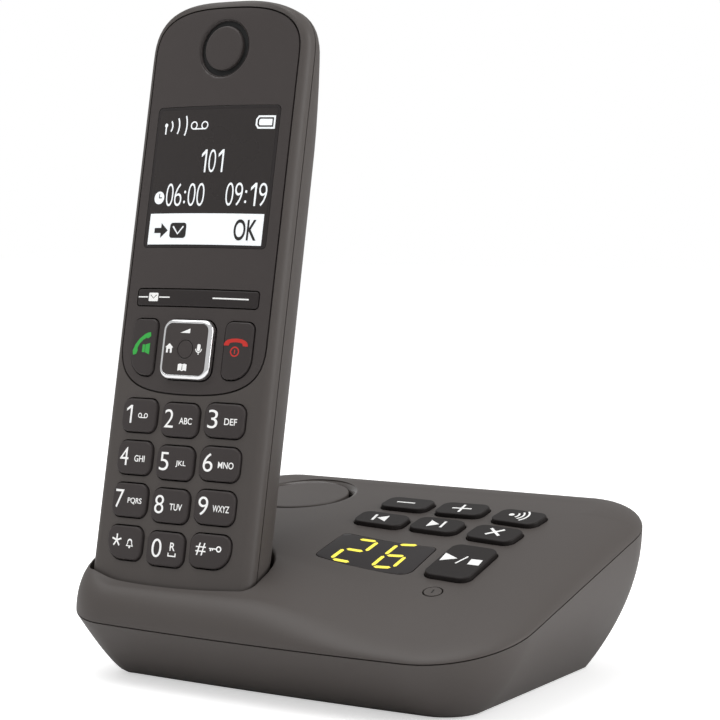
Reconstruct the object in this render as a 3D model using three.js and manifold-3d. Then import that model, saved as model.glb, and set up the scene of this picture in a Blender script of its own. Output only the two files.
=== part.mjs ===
// A desk-top answering machine: a cordless-telephone base station with its handset in the cradle.
// Millimetres, +Z up. The origin is on the table under the middle of the base station; the front,
// where the handset stands, faces -Y.
import * as THREE from 'three';
import Module from 'manifold-3d';
import { mergeVertices } from 'three/addons/utils/BufferGeometryUtils.js';

const wasm = await Module();
wasm.setup();

const degree = Math.PI / 180;

// Driving dimensions of the base station
const base = {
  width: 121.3,
  depth: 95.5,
  frontBow: 0.8,
  cornerFrontLeft: 15.5,
  cornerFrontRight: 22,
  cornerBackRight: 18,
  cornerBackLeft: 16,
  seamHeight: 14.6,
  seamRise: 23.8,
  edgeHeight: 3.5,
  crownHeight: 2.45,
  rollFrontLeft: 5,
  rollFrontRight: 10,
  rollRight: 17,
  rollBack: 10,
  rollLeft: 5,
  footInset: 12.9,
  footShift: 0.8,
  wall: 2.2,
  seamGap: 0.3,
  floorHeight: 0.3,
};

// The rise of the top surface round the cradle
const mound = {
  height: 6.1,
  halfWidth: 18,
  centreX: -0.4,
  frontShift: 11,
  shiftStart: 22,
  shiftLength: 21,
  backStart: 10.8,
  backLength: 75,
  lipShare: 0.45,
  lipWidth: 16,
  lipLength: 26,
};

// The cordless handset, and how it stands in the cradle
const handset = {
  length: 152,
  width: 47.4,
  lean: 11.56 * degree,
  crownRadius: 163,
  edgeRadius: 2.8,
  edgeLeast: 0.6,
  seamDepth: 5.2,
  rearDepthTop: 15.4,
  rearDepthBottom: 17.2,
  archHeight: 14.5,
  cornerBottom: 5,
  roundFront: 2.2,
  roundRear: 11,
  roundLength: 38,
  wall: 1.8,
  frontWall: 2.4,
  seamGap: 0.3,
  centreFromLeft: 29,
  faceFromFront: 6.25,
  restHeight: 16.94,
};

// The deck falls away towards its front right corner
const fall = { depth: 2.5, startX: 6, lengthX: 50, startY: 10.75, lengthY: 77 };

const cradle = { clearance: 0.8, wall: 1.8, relief: 0.4 };
const fit = { gap: 0.3, keyGap: 0.35, overrun: 2, probe: 0.5, merge: 0.001 };

// The LED counter's window, the speaker disc and the two boards under the deck
const deck = {
  windowX: 9.15,
  windowFromBack: 55.75,
  windowWidth: 25.4,
  windowHeight: 16.2,
  windowCorner: 1.6,
  windowTurn: 5 * degree,
  windowThickness: 1.4,
  moduleThickness: 1.7,
  moduleMargin: 1.5,
  matDepth: 4,
  matThickness: 1,
  matMargin: 1.2,
  boardThickness: 1.6,
  boardDrop: 1.4,
  boardMargin: 9,
  discFromLeft: 26.25,
  discFromBack: 22.55,
  discRadius: 12.6,
  discThickness: 2.2,
  discGap: 0.7,
  driverRadius: 15,
  driverFlange: 1.4,
  basketRadius: 11,
  basketDepth: 4.4,
  magnetRadius: 7,
  magnetDepth: 3.4,
};

const baseKey = {
  width: 13.2,
  height: 8.35,
  corner: 2.6,
  rise: 1.1,
  sink: 2.8,
  bevel: 0.35,
  playWidth: 12.3,
  playHeight: 17.3,
  onOffRadius: 2.2,
  onOffRise: 0.05,
};

// Places of the base keys: x from the centre line, and the distance from the back edge
const backRow = {
  leftX: -0.28, leftBack: 24.5, middleX: 15.56, middleBack: 24.16, rightX: 32.51, rightBack: 25.72,
};
const frontRow = {
  leftX: -0.02, leftBack: 37.82, middleX: 15.03, middleBack: 36, rightX: 31.69, rightBack: 37.05,
};
const soloKeys = { playX: 31.6, playBack: 53.75, onOffX: 31.76, onOffBack: 67.63 };
const keyTurn = {
  volumeDown: 2.3 * degree, volumeUp: 3.2 * degree, paging: -4.9 * degree, previous: 6.5 * degree,
  next: 0.4 * degree, remove: -3.2 * degree, play: 0.6 * degree,
};

const fromBack = (distance) => base.depth / 2 - distance;

// Each base key: its place on the deck, its turn on the surface, and its outline
const baseKeys = [
  { name: 'volume_down_key', x: backRow.leftX, y: fromBack(backRow.leftBack), turn: keyTurn.volumeDown },
  { name: 'volume_up_key', x: backRow.middleX, y: fromBack(backRow.middleBack), turn: keyTurn.volumeUp },
  { name: 'paging_key', x: backRow.rightX, y: fromBack(backRow.rightBack), turn: keyTurn.paging,
    column: true },
  { name: 'previous_key', x: frontRow.leftX, y: fromBack(frontRow.leftBack), turn: keyTurn.previous },
  { name: 'next_key', x: frontRow.middleX, y: fromBack(frontRow.middleBack), turn: keyTurn.next },
  { name: 'delete_key', x: frontRow.rightX, y: fromBack(frontRow.rightBack), turn: keyTurn.remove },
  { name: 'play_stop_key', x: soloKeys.playX, y: fromBack(soloKeys.playBack), turn: keyTurn.play, play: true,
    column: true },
  { name: 'on_off_key', x: soloKeys.onOffX, y: fromBack(soloKeys.onOffBack), turn: keyTurn.play, round: true,
    column: true },
];

const foot = { radius: 4.5, thickness: 2, inset: 7.5 };
const screw = {
  headRadius: 2.6, headHeight: 2, shaftRadius: 1.3, length: 9, bossRadius: 4.2, postRadius: 3.2, recess: 1.2,
  besideHandset: 20.95, fromFront: 19.75, besideRecess: 6.2, fromBack: 16.85, leftOfRecess: 14,
  behindJack: 7.75,
};
const boardPost = { radius: 2.5, inset: 7 };

// Modular jacks in the cable recess at the back
const jack = {
  width: 13, height: 11.5, depth: 14, mouthWidth: 9.8, mouthHeight: 6.8, mouthDepth: 11, pitch: 18,
};
const recess = { fromRight: 59.65, width: 38, height: 17, bottom: 5.5, depth: 21, wall: 1.8 };

// Handset face: keypad, displays and function keys
const keypad = {
  side: 5.42, columnGap: 1.63, pitchZ: 10.43, firstRow: 16.24, rowBow: 0.56, height: 8.2, corner: 2.4,
  cornerLarge: 4.6, rise: 0.7, bevel: 0.5, sink: 2.6,
};
const plate = {
  margin: 2.3, archMargin: 2, handle: 2, handleShare: 0.62, thickness: 1.2, groove: 0.3, bottom: 53.9,
  shoulder: 66,
};
const screen = {
  side: 5.3, bottom: 90, top: 125.4, corner: 1.2, thickness: 1.3, moduleThickness: 2, moduleMargin: 1,
};
const rocker = { side: 5.55, height: 4.2, centreZ: 77.5, rise: 0.1, sink: 2.6, corner: 1.4 };
const nav = {
  size: 14.8, corner: 2.9, ring: 1.1, centreZ: 64.7, rise: 1.7, sink: 2.6, pivotTop: 2.9,
  pivotSize: 9, centreRadius: 2.2, bevel: 0.4,
};
const callKey = {
  side: 5.7, navGap: 2.8, bottom: 58, top: 72, corner: 1.8, cornerLarge: 5.2, rise: 0.5, sink: 2.6,
};
const ear = {
  centreZ: 140, radius: 7.2, ringInner: 5.4, grooveDepth: 0.5, thickness: 2, receiverRadius: 6.4,
  receiverDepth: 3.4,
};
const inner = { matTop: 3.4, matThickness: 0.6, boardGap: 0.33, boardThickness: 1, margin: 3.2, bayGap: 0.5 };
const cell = { radius: 5.2, length: 44, capRadius: 1.9, capLength: 0.9, lowZ: 32, gap: 0.3, wall: 1.2 };
const door = { side: 8.2, bottom: 28, top: 84, corner: 4, thickness: 1.6, gap: 0.3 };
const contact = {
  x: 9, width: 3, depth: 6, height: 4, frontY: 8, springWidth: 2.2, springDepth: 4, springBelow: 4,
};

// Widths and depths that follow the handset's width and crown
const screenWidth = handset.width - 2 * screen.side;
const rockerWidth = handset.width - 2 * rocker.side;
const digitWidth = (handset.width - 2 * keypad.side - 2 * keypad.columnGap) / 3;
const digitPitch = digitWidth + keypad.columnGap;
const doorHalfWidth = handset.width / 2 - door.side;
const matWidth = handset.width - 2 * handset.wall - 2 * inner.margin;
const boardDepth = inner.matTop + inner.matThickness + crownAt(matWidth / 2) + inner.boardGap;
const bayFloor = boardDepth + inner.boardThickness + inner.bayGap;
const pivotBottom = boardDepth - fit.gap;

const curveSteps = 1;
const plateSteps = 8;
const discSteps = 3;
const straightSteps = 4;
const cornerSteps = 5;
const archPower = 2.9;
const rearPower = 2.25;

// Material finishes as they show in the picture
const finish = {
  housing: new THREE.MeshStandardMaterial({ color: 0x5c5753, roughness: 0.5, metalness: 0 }),
  plate: new THREE.MeshStandardMaterial({ color: 0x46413f, roughness: 0.35, metalness: 0 }),
  handsetKey: new THREE.MeshStandardMaterial({ color: 0x3a3635, roughness: 0.55, metalness: 0 }),
  baseKey: new THREE.MeshStandardMaterial({ color: 0x282525, roughness: 0.55, metalness: 0 }),
  window: new THREE.MeshStandardMaterial({ color: 0x2c2728, roughness: 0.2, metalness: 0 }),
  rubber: new THREE.MeshStandardMaterial({ color: 0x1d1d1d, roughness: 0.9, metalness: 0 }),
  chrome: new THREE.MeshStandardMaterial({ color: 0xc8c8ca, roughness: 0.2, metalness: 1 }),
  steel: new THREE.MeshStandardMaterial({ color: 0x9a9a9c, roughness: 0.35, metalness: 1 }),
  gold: new THREE.MeshStandardMaterial({ color: 0xb99a4a, roughness: 0.3, metalness: 1 }),
  board: new THREE.MeshStandardMaterial({ color: 0x1f5a3a, roughness: 0.6, metalness: 0 }),
  black: new THREE.MeshStandardMaterial({ color: 0x1a1a1b, roughness: 0.5, metalness: 0 }),
  cell: new THREE.MeshStandardMaterial({ color: 0x3f6f4a, roughness: 0.4, metalness: 0 }),
};

const model = new THREE.Group();

function addMesh(parent, name, geometry, material) {
  const mesh = new THREE.Mesh(geometry, material);
  mesh.name = name;
  parent.add(mesh);
  return mesh;
}

// Solids: a closed geometry becomes a manifold solid and comes back as a geometry.
function signedVolume(positions, triangles) {
  let sum = 0;
  const a = new THREE.Vector3();
  const b = new THREE.Vector3();
  const c = new THREE.Vector3();
  for (let i = 0; i < triangles.length; i += 3) {
    a.fromArray(positions, 3 * triangles[i]);
    b.fromArray(positions, 3 * triangles[i + 1]);
    c.fromArray(positions, 3 * triangles[i + 2]);
    sum += a.dot(b.cross(c));
  }
  return sum;
}

function solid(geometry) {
  const bare = geometry.clone();
  bare.deleteAttribute('normal');
  bare.deleteAttribute('uv');
  const merged = mergeVertices(bare);
  const vertProperties = new Float32Array(merged.getAttribute('position').array);
  const triVerts = new Uint32Array(merged.index.array);
  if (signedVolume(vertProperties, triVerts) < 0) {
    for (let i = 0; i < triVerts.length; i += 3) {
      [triVerts[i], triVerts[i + 1]] = [triVerts[i + 1], triVerts[i]];
    }
  }
  return new wasm.Manifold(new wasm.Mesh({ numProp: 3, vertProperties, triVerts }));
}

function geometryOf(shape) {
  const mesh = shape.getMesh();
  const geometry = new THREE.BufferGeometry();
  geometry.setAttribute('position', new THREE.BufferAttribute(new Float32Array(mesh.vertProperties), 3));
  geometry.setIndex(new THREE.BufferAttribute(new Uint32Array(mesh.triVerts), 1));
  geometry.computeVertexNormals();
  return geometry;
}

// A closed body through rings of points, with a flat fan over each end.
function loft(rings) {
  const count = rings[0].length;
  const positions = [];
  const triangles = [];
  for (const ring of rings) {
    for (const p of ring) {
      positions.push(p.x, p.y, p.z);
    }
  }
  for (let r = 0; r < rings.length - 1; r += 1) {
    for (let i = 0; i < count; i += 1) {
      const j = (i + 1) % count;
      const a = r * count + i;
      const b = r * count + j;
      const c = a + count;
      const d = b + count;
      triangles.push(a, b, d, a, d, c);
    }
  }
  for (const [ring, start, flip] of [[rings[0], 0, true], [rings.at(-1), (rings.length - 1) * count,
    false]]) {
    const middle = new THREE.Vector3();
    for (const p of ring) {
      middle.addScaledVector(p, 1 / count);
    }
    const centre = positions.length / 3;
    positions.push(middle.x, middle.y, middle.z);
    for (let i = 0; i < count; i += 1) {
      const j = (i + 1) % count;
      triangles.push(...(flip ? [centre, start + j, start + i] : [centre, start + i, start + j]));
    }
  }
  const geometry = new THREE.BufferGeometry();
  geometry.setAttribute('position', new THREE.Float32BufferAttribute(positions, 3));
  geometry.setIndex(triangles);
  return geometry;
}

// A box between two corners
function block(low, high) {
  const size = high.clone().sub(low);
  const geometry = new THREE.BoxGeometry(size.x, size.y, size.z);
  const middle = low.clone().add(high).multiplyScalar(1 / 2);
  geometry.translate(middle.x, middle.y, middle.z);
  return geometry;
}

// Four corner radii, from the lower left one anticlockwise, drawn in where two of them outgrow a side
function fitRadii(width, height, corners) {
  const radii = Array.isArray(corners) ? corners : [corners, corners, corners, corners];
  const [r0, r1, r2, r3] = radii;
  const share = Math.min(1, width / (r0 + r1), width / (r2 + r3), height / (r1 + r2), height / (r3 + r0));
  return radii.map((r) => r * share);
}

// A rectangle with rounded corners
function roundedShape(width, height, corners) {
  const [r0, r1, r2, r3] = fitRadii(width, height, corners);
  const x = width / 2;
  const y = height / 2;
  const shape = new THREE.Shape();
  shape.moveTo(-x + r0, -y);
  shape.lineTo(x - r1, -y);
  shape.absarc(x - r1, -y + r1, r1, -Math.PI / 2, 0);
  shape.lineTo(x, y - r2);
  shape.absarc(x - r2, y - r2, r2, 0, Math.PI / 2);
  shape.lineTo(-x + r3, y);
  shape.absarc(-x + r3, y - r3, r3, Math.PI / 2, Math.PI);
  shape.lineTo(-x, -y + r0);
  shape.absarc(-x + r0, -y + r0, r0, Math.PI, 3 * Math.PI / 2);
  return shape;
}

function circleShape(radius) {
  return roundedShape(2 * radius, 2 * radius, radius);
}

// A straight prism on a shape, from one height to another
function prism(shape, from, to, segments = curveSteps) {
  const geometry = new THREE.ExtrudeGeometry(shape, {
    depth: to - from, bevelEnabled: false, curveSegments: segments });
  geometry.translate(0, 0, from);
  return geometry;
}

// A shape's outline at one height, without the points that repeat where lines and arcs meet
function ringOf(shape, z) {
  const points = shape.getPoints(curveSteps);
  const distinct = points.filter((p, i) => p.distanceTo(points[(i + 1) % points.length]) > fit.merge);
  return distinct.map((p) => new THREE.Vector3(p.x, p.y, z));
}

// A key cap with rounded corners, whose upper edge is chamfered inwards
function cap(width, height, corners, from, to, bevel) {
  const radii = fitRadii(width, height, corners);
  const full = roundedShape(width, height, radii);
  const top = roundedShape(width - 2 * bevel, height - 2 * bevel, radii.map((r) => r - bevel));
  return loft([ringOf(full, from), ringOf(full, to - bevel), ringOf(top, to)]);
}

function turned(points, segments) {
  return new THREE.LatheGeometry(points.map(([r, z]) => new THREE.Vector2(r, z)),
    segments).rotateX(Math.PI / 2);
}

// The housing's outer surfaces

const frontY = -base.depth / 2;

function smooth(from, to, value) {
  const t = THREE.MathUtils.clamp((value - from) / (to - from), 0, 1);
  return t * t * (3 - 2 * t);
}

function seamZ(y) {
  return base.seamHeight + base.seamRise * (y - frontY) / base.depth;
}

// Height of the top surface, before its edge rolls over to the seam
function topZ(x, y) {
  const shift = THREE.MathUtils.clamp((-mound.shiftStart - y) / mound.shiftLength, 0, 1);
  const centre = mound.centreX + mound.frontShift * shift;
  const across = 1 - smooth(centre - mound.halfWidth, centre + mound.halfWidth, x);
  const along = 1 - smooth(frontY + mound.backStart, frontY + mound.backStart + mound.backLength, y);
  const crown = base.crownHeight * (1 - (2 * y / base.depth) ** 2);
  const lip = smooth(-base.width / 2, -base.width / 2 + mound.lipWidth, x)
    * (1 - smooth(frontY, frontY + mound.lipLength, y));
  const fallen = fall.depth * smooth(fall.startX, fall.startX + fall.lengthX, x)
    * (1 - smooth(frontY + fall.startY, frontY + fall.startY + fall.lengthY, y));
  return seamZ(y) + base.edgeHeight + crown + mound.height * across * along * (1 - mound.lipShare * lip)
    - fallen;
}

// The seam's outline, with the outward direction and the width of the rolled edge at each point
function baseOutline() {
  const halfWidth = base.width / 2;
  const halfDepth = base.depth / 2;
  const corners = [
    { r: base.cornerFrontRight, sx: 1, sy: -1, roll: [base.rollFrontRight, base.rollRight] },
    { r: base.cornerBackRight, sx: 1, sy: 1, roll: [base.rollRight, base.rollBack] },
    { r: base.cornerBackLeft, sx: -1, sy: 1, roll: [base.rollBack, base.rollLeft] },
    { r: base.cornerFrontLeft, sx: -1, sy: -1, roll: [base.rollLeft, base.rollFrontLeft] },
  ];
  const arcs = corners.map((corner, k) => {
    const bow = corner.sy < 0 ? base.frontBow : 0;
    const cx = corner.sx * (halfWidth - corner.r);
    const cy = corner.sy * (halfDepth - corner.r) + bow;
    const points = [];
    for (let i = 0; i <= cornerSteps; i += 1) {
      const share = i / cornerSteps;
      const angle = (k - 1 + share) * Math.PI / 2;
      const normal = new THREE.Vector2(Math.cos(angle), Math.sin(angle));
      points.push({ x: cx + corner.r * normal.x, y: cy + corner.r * normal.y, normal,
        roll: corner.roll[0] + (corner.roll[1] - corner.roll[0]) * share });
    }
    return points;
  });
  const outline = [];
  arcs.forEach((arc, k) => {
    outline.push(...arc);
    const a = arc.at(-1);
    const b = arcs[(k + 1) % arcs.length][0];
    for (let i = 1; i < straightSteps; i += 1) {
      const share = i / straightSteps;
      const bow = k === arcs.length - 1 ? base.frontBow * (1 - (2 * share - 1) ** 2) : 0;
      outline.push({ x: a.x + (b.x - a.x) * share, y: a.y + (b.y - a.y) * share - bow, normal: a.normal,
        roll: a.roll + (b.roll - a.roll) * share });
    }
  });
  return outline;
}

const outline = baseOutline();
const rollAngles = [1, 2, 3, 4].map((k) => k * Math.PI / 8);
const middleShares = [0.2, 0.4, 0.62, 0.85];

// The domed top with its rolled edge, down to a cut at a height above or below the seam
function domeForm(inset, drop, bottom) {
  const rings = [outline.map((p) => new THREE.Vector3(
    p.x - p.normal.x * inset, p.y - p.normal.y * inset, seamZ(p.y - p.normal.y * inset) + bottom))];
  for (const angle of bottom < 0 ? [0, ...rollAngles] : rollAngles) {
    rings.push(outline.map((p) => {
      const full = new THREE.Vector2(p.x - p.normal.x * p.roll, p.y - p.normal.y * p.roll);
      const d = inset + (p.roll - inset) * (1 - Math.cos(angle));
      const x = p.x - p.normal.x * d;
      const y = p.y - p.normal.y * d;
      const rise = topZ(full.x, full.y) - seamZ(full.y) - drop;
      return new THREE.Vector3(x, y, seamZ(y) + rise * Math.sin(angle));
    }));
  }
  const edge = rings.at(-1);
  for (const share of middleShares) {
    rings.push(edge.map((p) => {
      const x = p.x * (1 - share);
      const y = p.y * (1 - share);
      return new THREE.Vector3(x, y, topZ(x, y) - drop);
    }));
  }
  return loft(rings);
}

// The bowl under the seam: steep and full at the back, a flatter taper at the low front
const bowl = { lowHeight: 15, highHeight: 35, lowPower: 0.7, highPower: 1.9 };
const bowlShares = [0, 0.16, 0.36, 0.62, 0.84, 1];

function bowlInset(z, height, side) {
  const t = THREE.MathUtils.clamp(z / height, 0, 1);
  const high = THREE.MathUtils.clamp((height - bowl.lowHeight) / (bowl.highHeight - bowl.lowHeight), 0, 1);
  const spread = (1 - high) * t ** bowl.lowPower + high * (1 - (1 - t) ** bowl.highPower);
  return (base.footInset + base.footShift * side) * (1 - spread);
}

function bowlForm(inset, bottom, above) {
  const rings = bowlShares.map((share) => outline.map((p) => {
    const height = seamZ(p.y) - base.floorHeight;
    const low = bottom + share * (height - bottom);
    const d = bowlInset(low, height, p.normal.x) + inset;
    const x = p.x - p.normal.x * d;
    const y = p.y - p.normal.y * d;
    const rim = seamZ(y) - base.seamGap / 2 - base.floorHeight;
    return new THREE.Vector3(x, y, base.floorHeight + bottom + share * (rim - bottom));
  }));
  if (above > 0) {
    rings.push(rings.at(-1).map((p) => p.clone().setZ(p.z + above)));
  }
  return loft(rings);
}

// A frame lying on the top surface, its z axis along the surface's normal
function surfaceFrame(x, y, turn) {
  const slopeX = (topZ(x + fit.probe, y) - topZ(x - fit.probe, y)) / (2 * fit.probe);
  const slopeY = (topZ(x, y + fit.probe) - topZ(x, y - fit.probe)) / (2 * fit.probe);
  const normal = new THREE.Vector3(-slopeX, -slopeY, 1).normalize();
  const across = new THREE.Vector3(1, 0, slopeX).normalize();
  const up = new THREE.Vector3().crossVectors(normal, across);
  const matrix = new THREE.Matrix4().makeBasis(across, up, normal);
  matrix.multiply(new THREE.Matrix4().makeRotationZ(turn));
  matrix.setPosition(x, y, topZ(x, y));
  return matrix;
}

// The handset's form, in its own frame: x across, y from the face to the back, z up its length

const archAngles = [14, 30, 45, 58, 69, 78].map((angle) => angle * degree);
const lowShares = [0, 0.2, 0.55, 1];
const rearShares = [0, 0.14, 0.3, 0.48, 0.7];
const straightShares = [0.42, 0.83, 0.92, 1];
const faceShares = [0, 0.5, 1];
const edgeShares = [0.33, 0.66, 1];

function handsetStations() {
  const stations = lowShares.map((share) => ({ z: share * handset.cornerBottom, low: 1 - share, high: 0 }));
  const from = handset.cornerBottom;
  const to = handset.length - handset.archHeight;
  for (const share of straightShares) {
    stations.push({ z: from + (to - from) * share, low: 0, high: 0 });
  }
  const last = Math.sin(archAngles.at(-1)) ** (2 / archPower);
  for (const angle of archAngles) {
    const share = Math.sin(angle) ** (2 / archPower) / last;
    stations.push({ z: to + handset.archHeight * share, low: 0, high: Math.sin(angle),
      arch: Math.cos(angle) ** (2 / archPower) });
  }
  return stations;
}

function handsetSection(station, grow) {
  const { z, low, high, arch = 1 } = station;
  const lowRound = 1 - Math.sqrt(1 - low * low);
  const highRound = 1 - Math.sqrt(1 - high * high);
  const along = z / handset.length;
  const half = (handset.width / 2 - handset.cornerBottom * lowRound) * arch + grow.side;
  const crown = (x) => x * x / (2 * handset.crownRadius);
  const front = Math.min(handset.roundFront * (lowRound + highRound ** 3) - grow.front,
    handset.seamDepth - crown(half) - handset.edgeLeast);
  const deep = THREE.MathUtils.lerp(handset.rearDepthBottom, handset.rearDepthTop, along);
  const fall = Math.max(0, 1 - (handset.length - z) / handset.roundLength);
  const rear = deep - handset.roundRear * (lowRound / 4 + fall ** 2) + grow.rear;
  const edge = Math.min(handset.edgeRadius, half / 2, handset.seamDepth - front - crown(half));
  const right = [];
  for (const share of faceShares) {
    const x = (half - edge) * share;
    right.push([x, front + crown(x)]);
  }
  for (const share of edgeShares) {
    const angle = share * Math.PI / 2;
    right.push([half - edge + edge * Math.sin(angle), front + crown(half - edge) + edge * (1
      - Math.cos(angle))]);
  }
  for (const share of rearShares) {
    const angle = share * Math.PI / 2;
    right.push([half * Math.cos(angle) ** (2 / rearPower), handset.seamDepth
      + rear * Math.sin(angle) ** (2 / rearPower)]);
  }
  const section = [...right, [0, handset.seamDepth + rear]];
  for (const [x, y] of right.slice(1).reverse()) {
    section.push([-x, y]);
  }
  const endGrow = (z < handset.length / 2 ? -1 : 1) * grow.end;
  return section.map(([x, y]) => new THREE.Vector3(x, y, z + endGrow));
}

function handsetForm(grow) {
  return loft(handsetStations().map((station) => handsetSection(station, grow)));
}

// Turns a shape drawn across the face into a prism between two depths behind the face
function facePrism(shape, fromDepth, toDepth, segments) {
  const geometry = prism(shape, -toDepth, -fromDepth, segments);
  geometry.rotateX(Math.PI / 2);
  return geometry;
}

function faceCap(width, height, corners, fromDepth, toDepth, bevel) {
  const geometry = cap(width, height, corners, -toDepth, -fromDepth, bevel);
  geometry.rotateX(Math.PI / 2);
  return geometry;
}

const handsetPlace = new THREE.Matrix4().makeRotationX(-handset.lean);
handsetPlace.setPosition(-base.width / 2 + handset.centreFromLeft, frontY + handset.faceFromFront,
  handset.restHeight);

const same = { side: 0, front: 0, rear: 0, end: 0 };
const grown = (value) => ({ side: value, front: value, rear: value, end: value });

// The lower housing

const discX = -base.width / 2 + deck.discFromLeft;
const discY = fromBack(deck.discFromBack);

const board = {
  left: discX + deck.driverRadius + deck.matMargin,
  right: base.width / 2 - deck.boardMargin,
  front: frontY + handset.faceFromFront + handset.seamDepth + handset.rearDepthBottom + deck.boardMargin,
  back: base.depth / 2 - deck.boardMargin,
};
board.middleX = (board.left + board.right) / 2;
board.middleY = (board.front + board.back) / 2;

// The flat circuit board, parallel to the seam
function boardForm(extra) {
  const slope = Math.atan2(base.seamRise, base.depth);
  const length = (board.back - board.front) / Math.cos(slope);
  const shape = roundedShape(board.right - board.left + 2 * extra, length + 2 * extra, boardPost.radius);
  const geometry = prism(shape, -deck.boardThickness - extra, extra);
  geometry.rotateX(slope);
  geometry.translate(board.middleX, board.middleY, seamZ(board.middleY) - deck.boardDrop);
  return solid(geometry);
}

function cylinder(radius, from, to, x, y, segments = 20) {
  const geometry = new THREE.CylinderGeometry(radius, radius, to - from, segments);
  geometry.rotateX(Math.PI / 2);
  geometry.translate(x, y, (from + to) / 2);
  return geometry;
}

const footPlaces = [[-1, -1], [1, -1], [1, 1], [-1, 1]].map(([sx, sy]) => [
  sx * (base.width / 2 - base.footInset - foot.inset), sy * (base.depth / 2 - base.footInset - foot.inset)]);
const screwBottom = base.floorHeight + screw.recess;
const bossTop = base.floorHeight + base.wall + screw.headHeight + screw.recess;
const recessFront = base.depth / 2 - recess.depth;
const recessMiddle = recess.bottom + recess.height / 2;
const recessX = base.width / 2 - recess.fromRight;
const screwPlaces = [
  { x: -base.width / 2 + handset.centreFromLeft + handset.width / 2 + screw.besideHandset,
    y: frontY + screw.fromFront },
  { x: recessX + recess.width / 2 + recess.wall + screw.besideRecess, y: fromBack(screw.fromBack) },
  { x: recessX - screw.leftOfRecess, y: recessFront - jack.depth - screw.behindJack },
];

function jackPlaces() {
  return [['line_socket', recessX - jack.pitch / 2], ['power_socket', recessX + jack.pitch / 2]];
}

function buildLower(pocketBlock) {
  let shape = solid(bowlForm(0, 0, 0));
  const cavity = solid(bowlForm(base.wall, base.wall, fit.overrun));
  const alcove = solid(block(
    new THREE.Vector3(recessX - recess.width / 2 - recess.wall, recessFront - recess.wall,
      recess.bottom - recess.wall),
    new THREE.Vector3(recessX + recess.width / 2 + recess.wall, base.depth, recess.bottom
      + recess.height + recess.wall)));
  const bosses = screwPlaces.map(({ x, y }) => solid(cylinder(screw.bossRadius, base.floorHeight
    + base.wall / 2,
    bossTop, x, y)));
  const posts = [[-1, -1], [1, -1], [1, 1], [-1, 1]].map(([sx, sy]) => {
    const x = board.middleX + sx * ((board.right - board.left) / 2 - boardPost.inset);
    const y = board.middleY + sy * ((board.back - board.front) / 2 - boardPost.inset);
    const top = seamZ(y - boardPost.radius) - deck.boardDrop;
    return solid(cylinder(boardPost.radius, base.floorHeight + base.wall / 2, top, x, y, 12));
  });
  const outside = shape;
  shape = shape.subtract(cavity);
  shape = shape.add(alcove.intersect(outside));
  for (const piece of [...bosses, ...posts]) {
    shape = shape.add(piece.intersect(outside));
  }
  shape = shape.subtract(boardForm(fit.gap));
  shape = shape.subtract(solid(block(
    new THREE.Vector3(recessX - recess.width / 2, recessFront, recess.bottom),
    new THREE.Vector3(recessX + recess.width / 2, base.depth, recess.bottom + recess.height))));
  for (const [, x] of jackPlaces()) {
    shape = shape.subtract(solid(block(
      new THREE.Vector3(x - jack.width / 2 - fit.gap, recessFront - jack.depth, recessMiddle - jack.height / 2
        - fit.gap),
      new THREE.Vector3(x + jack.width / 2 + fit.gap, recessFront + fit.overrun, recessMiddle
        + jack.height / 2
        + fit.gap))));
  }
  for (const { x, y } of screwPlaces) {
    shape = shape.subtract(solid(cylinder(screw.headRadius + fit.gap, 0, screwBottom + screw.headHeight
      + fit.gap,
      x, y)));
    shape = shape.subtract(solid(cylinder(screw.shaftRadius + fit.gap, 0, bossTop + fit.overrun, x, y, 12)));
  }
  for (const [x, y] of footPlaces) {
    shape = shape.subtract(solid(cylinder(foot.radius + fit.gap, 0, foot.thickness + fit.gap, x, y)));
  }
  return shape.subtract(pocketBlock);
}

// The upper housing

function discCut(radius, from, to) {
  const geometry = prism(circleShape(radius), from, to, discSteps);
  return solid(geometry.applyMatrix4(surfaceFrame(discX, discY, 0)));
}

function windowPrism(extra, from, to) {
  const shape = roundedShape(deck.windowWidth + 2 * extra, deck.windowHeight + 2 * extra, deck.windowCorner);
  const frame = surfaceFrame(deck.windowX, fromBack(deck.windowFromBack), deck.windowTurn);
  return solid(prism(shape, from, to).applyMatrix4(frame));
}

function baseKeyShape(key, extra) {
  if (key.round) {
    return circleShape(baseKey.onOffRadius + extra);
  }
  const width = key.play ? baseKey.playWidth : baseKey.width;
  const height = key.play ? baseKey.playHeight : baseKey.height;
  return roundedShape(width + 2 * extra, height + 2 * extra, baseKey.corner + extra);
}

function baseKeyFrame(key) {
  return surfaceFrame(key.x, key.y, key.turn);
}

const cut = base.width;

function buildUpper(dome, pocket, pocketBlock) {
  let shape = dome.subtract(solid(domeForm(base.wall, base.wall, -fit.overrun)));
  const reach = solid(domeForm(0, 0, -base.seamHeight + base.floorHeight));
  for (const { x, y } of screwPlaces) {
    const post = solid(cylinder(screw.postRadius, bossTop + fit.gap, topZ(x, y) - base.wall / 2, x, y));
    shape = shape.add(post);
  }
  shape = shape.add(pocketBlock.intersect(reach));
  for (const { x, y } of screwPlaces) {
    shape = shape.subtract(solid(cylinder(screw.shaftRadius + fit.gap, 0, screwBottom + screw.headHeight
      + screw.length + fit.gap, x, y, 12)));
  }
  shape = shape.subtract(pocket);
  for (const key of baseKeys) {
    const hole = prism(baseKeyShape(key, fit.keyGap), -base.wall * 2, base.wall, curveSteps);
    shape = shape.subtract(solid(hole.applyMatrix4(baseKeyFrame(key))));
  }
  shape = shape.subtract(windowPrism(fit.gap, -base.wall * 2, base.wall));
  shape = shape.subtract(discCut(deck.discRadius + deck.discGap, -base.wall * 2, base.wall));
  for (const side of [-1, 1]) {
    shape = shape.subtract(solid(springBlock(side, fit.gap, cradle.wall * 2).applyMatrix4(handsetPlace)));
  }
  return shape;
}

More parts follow.
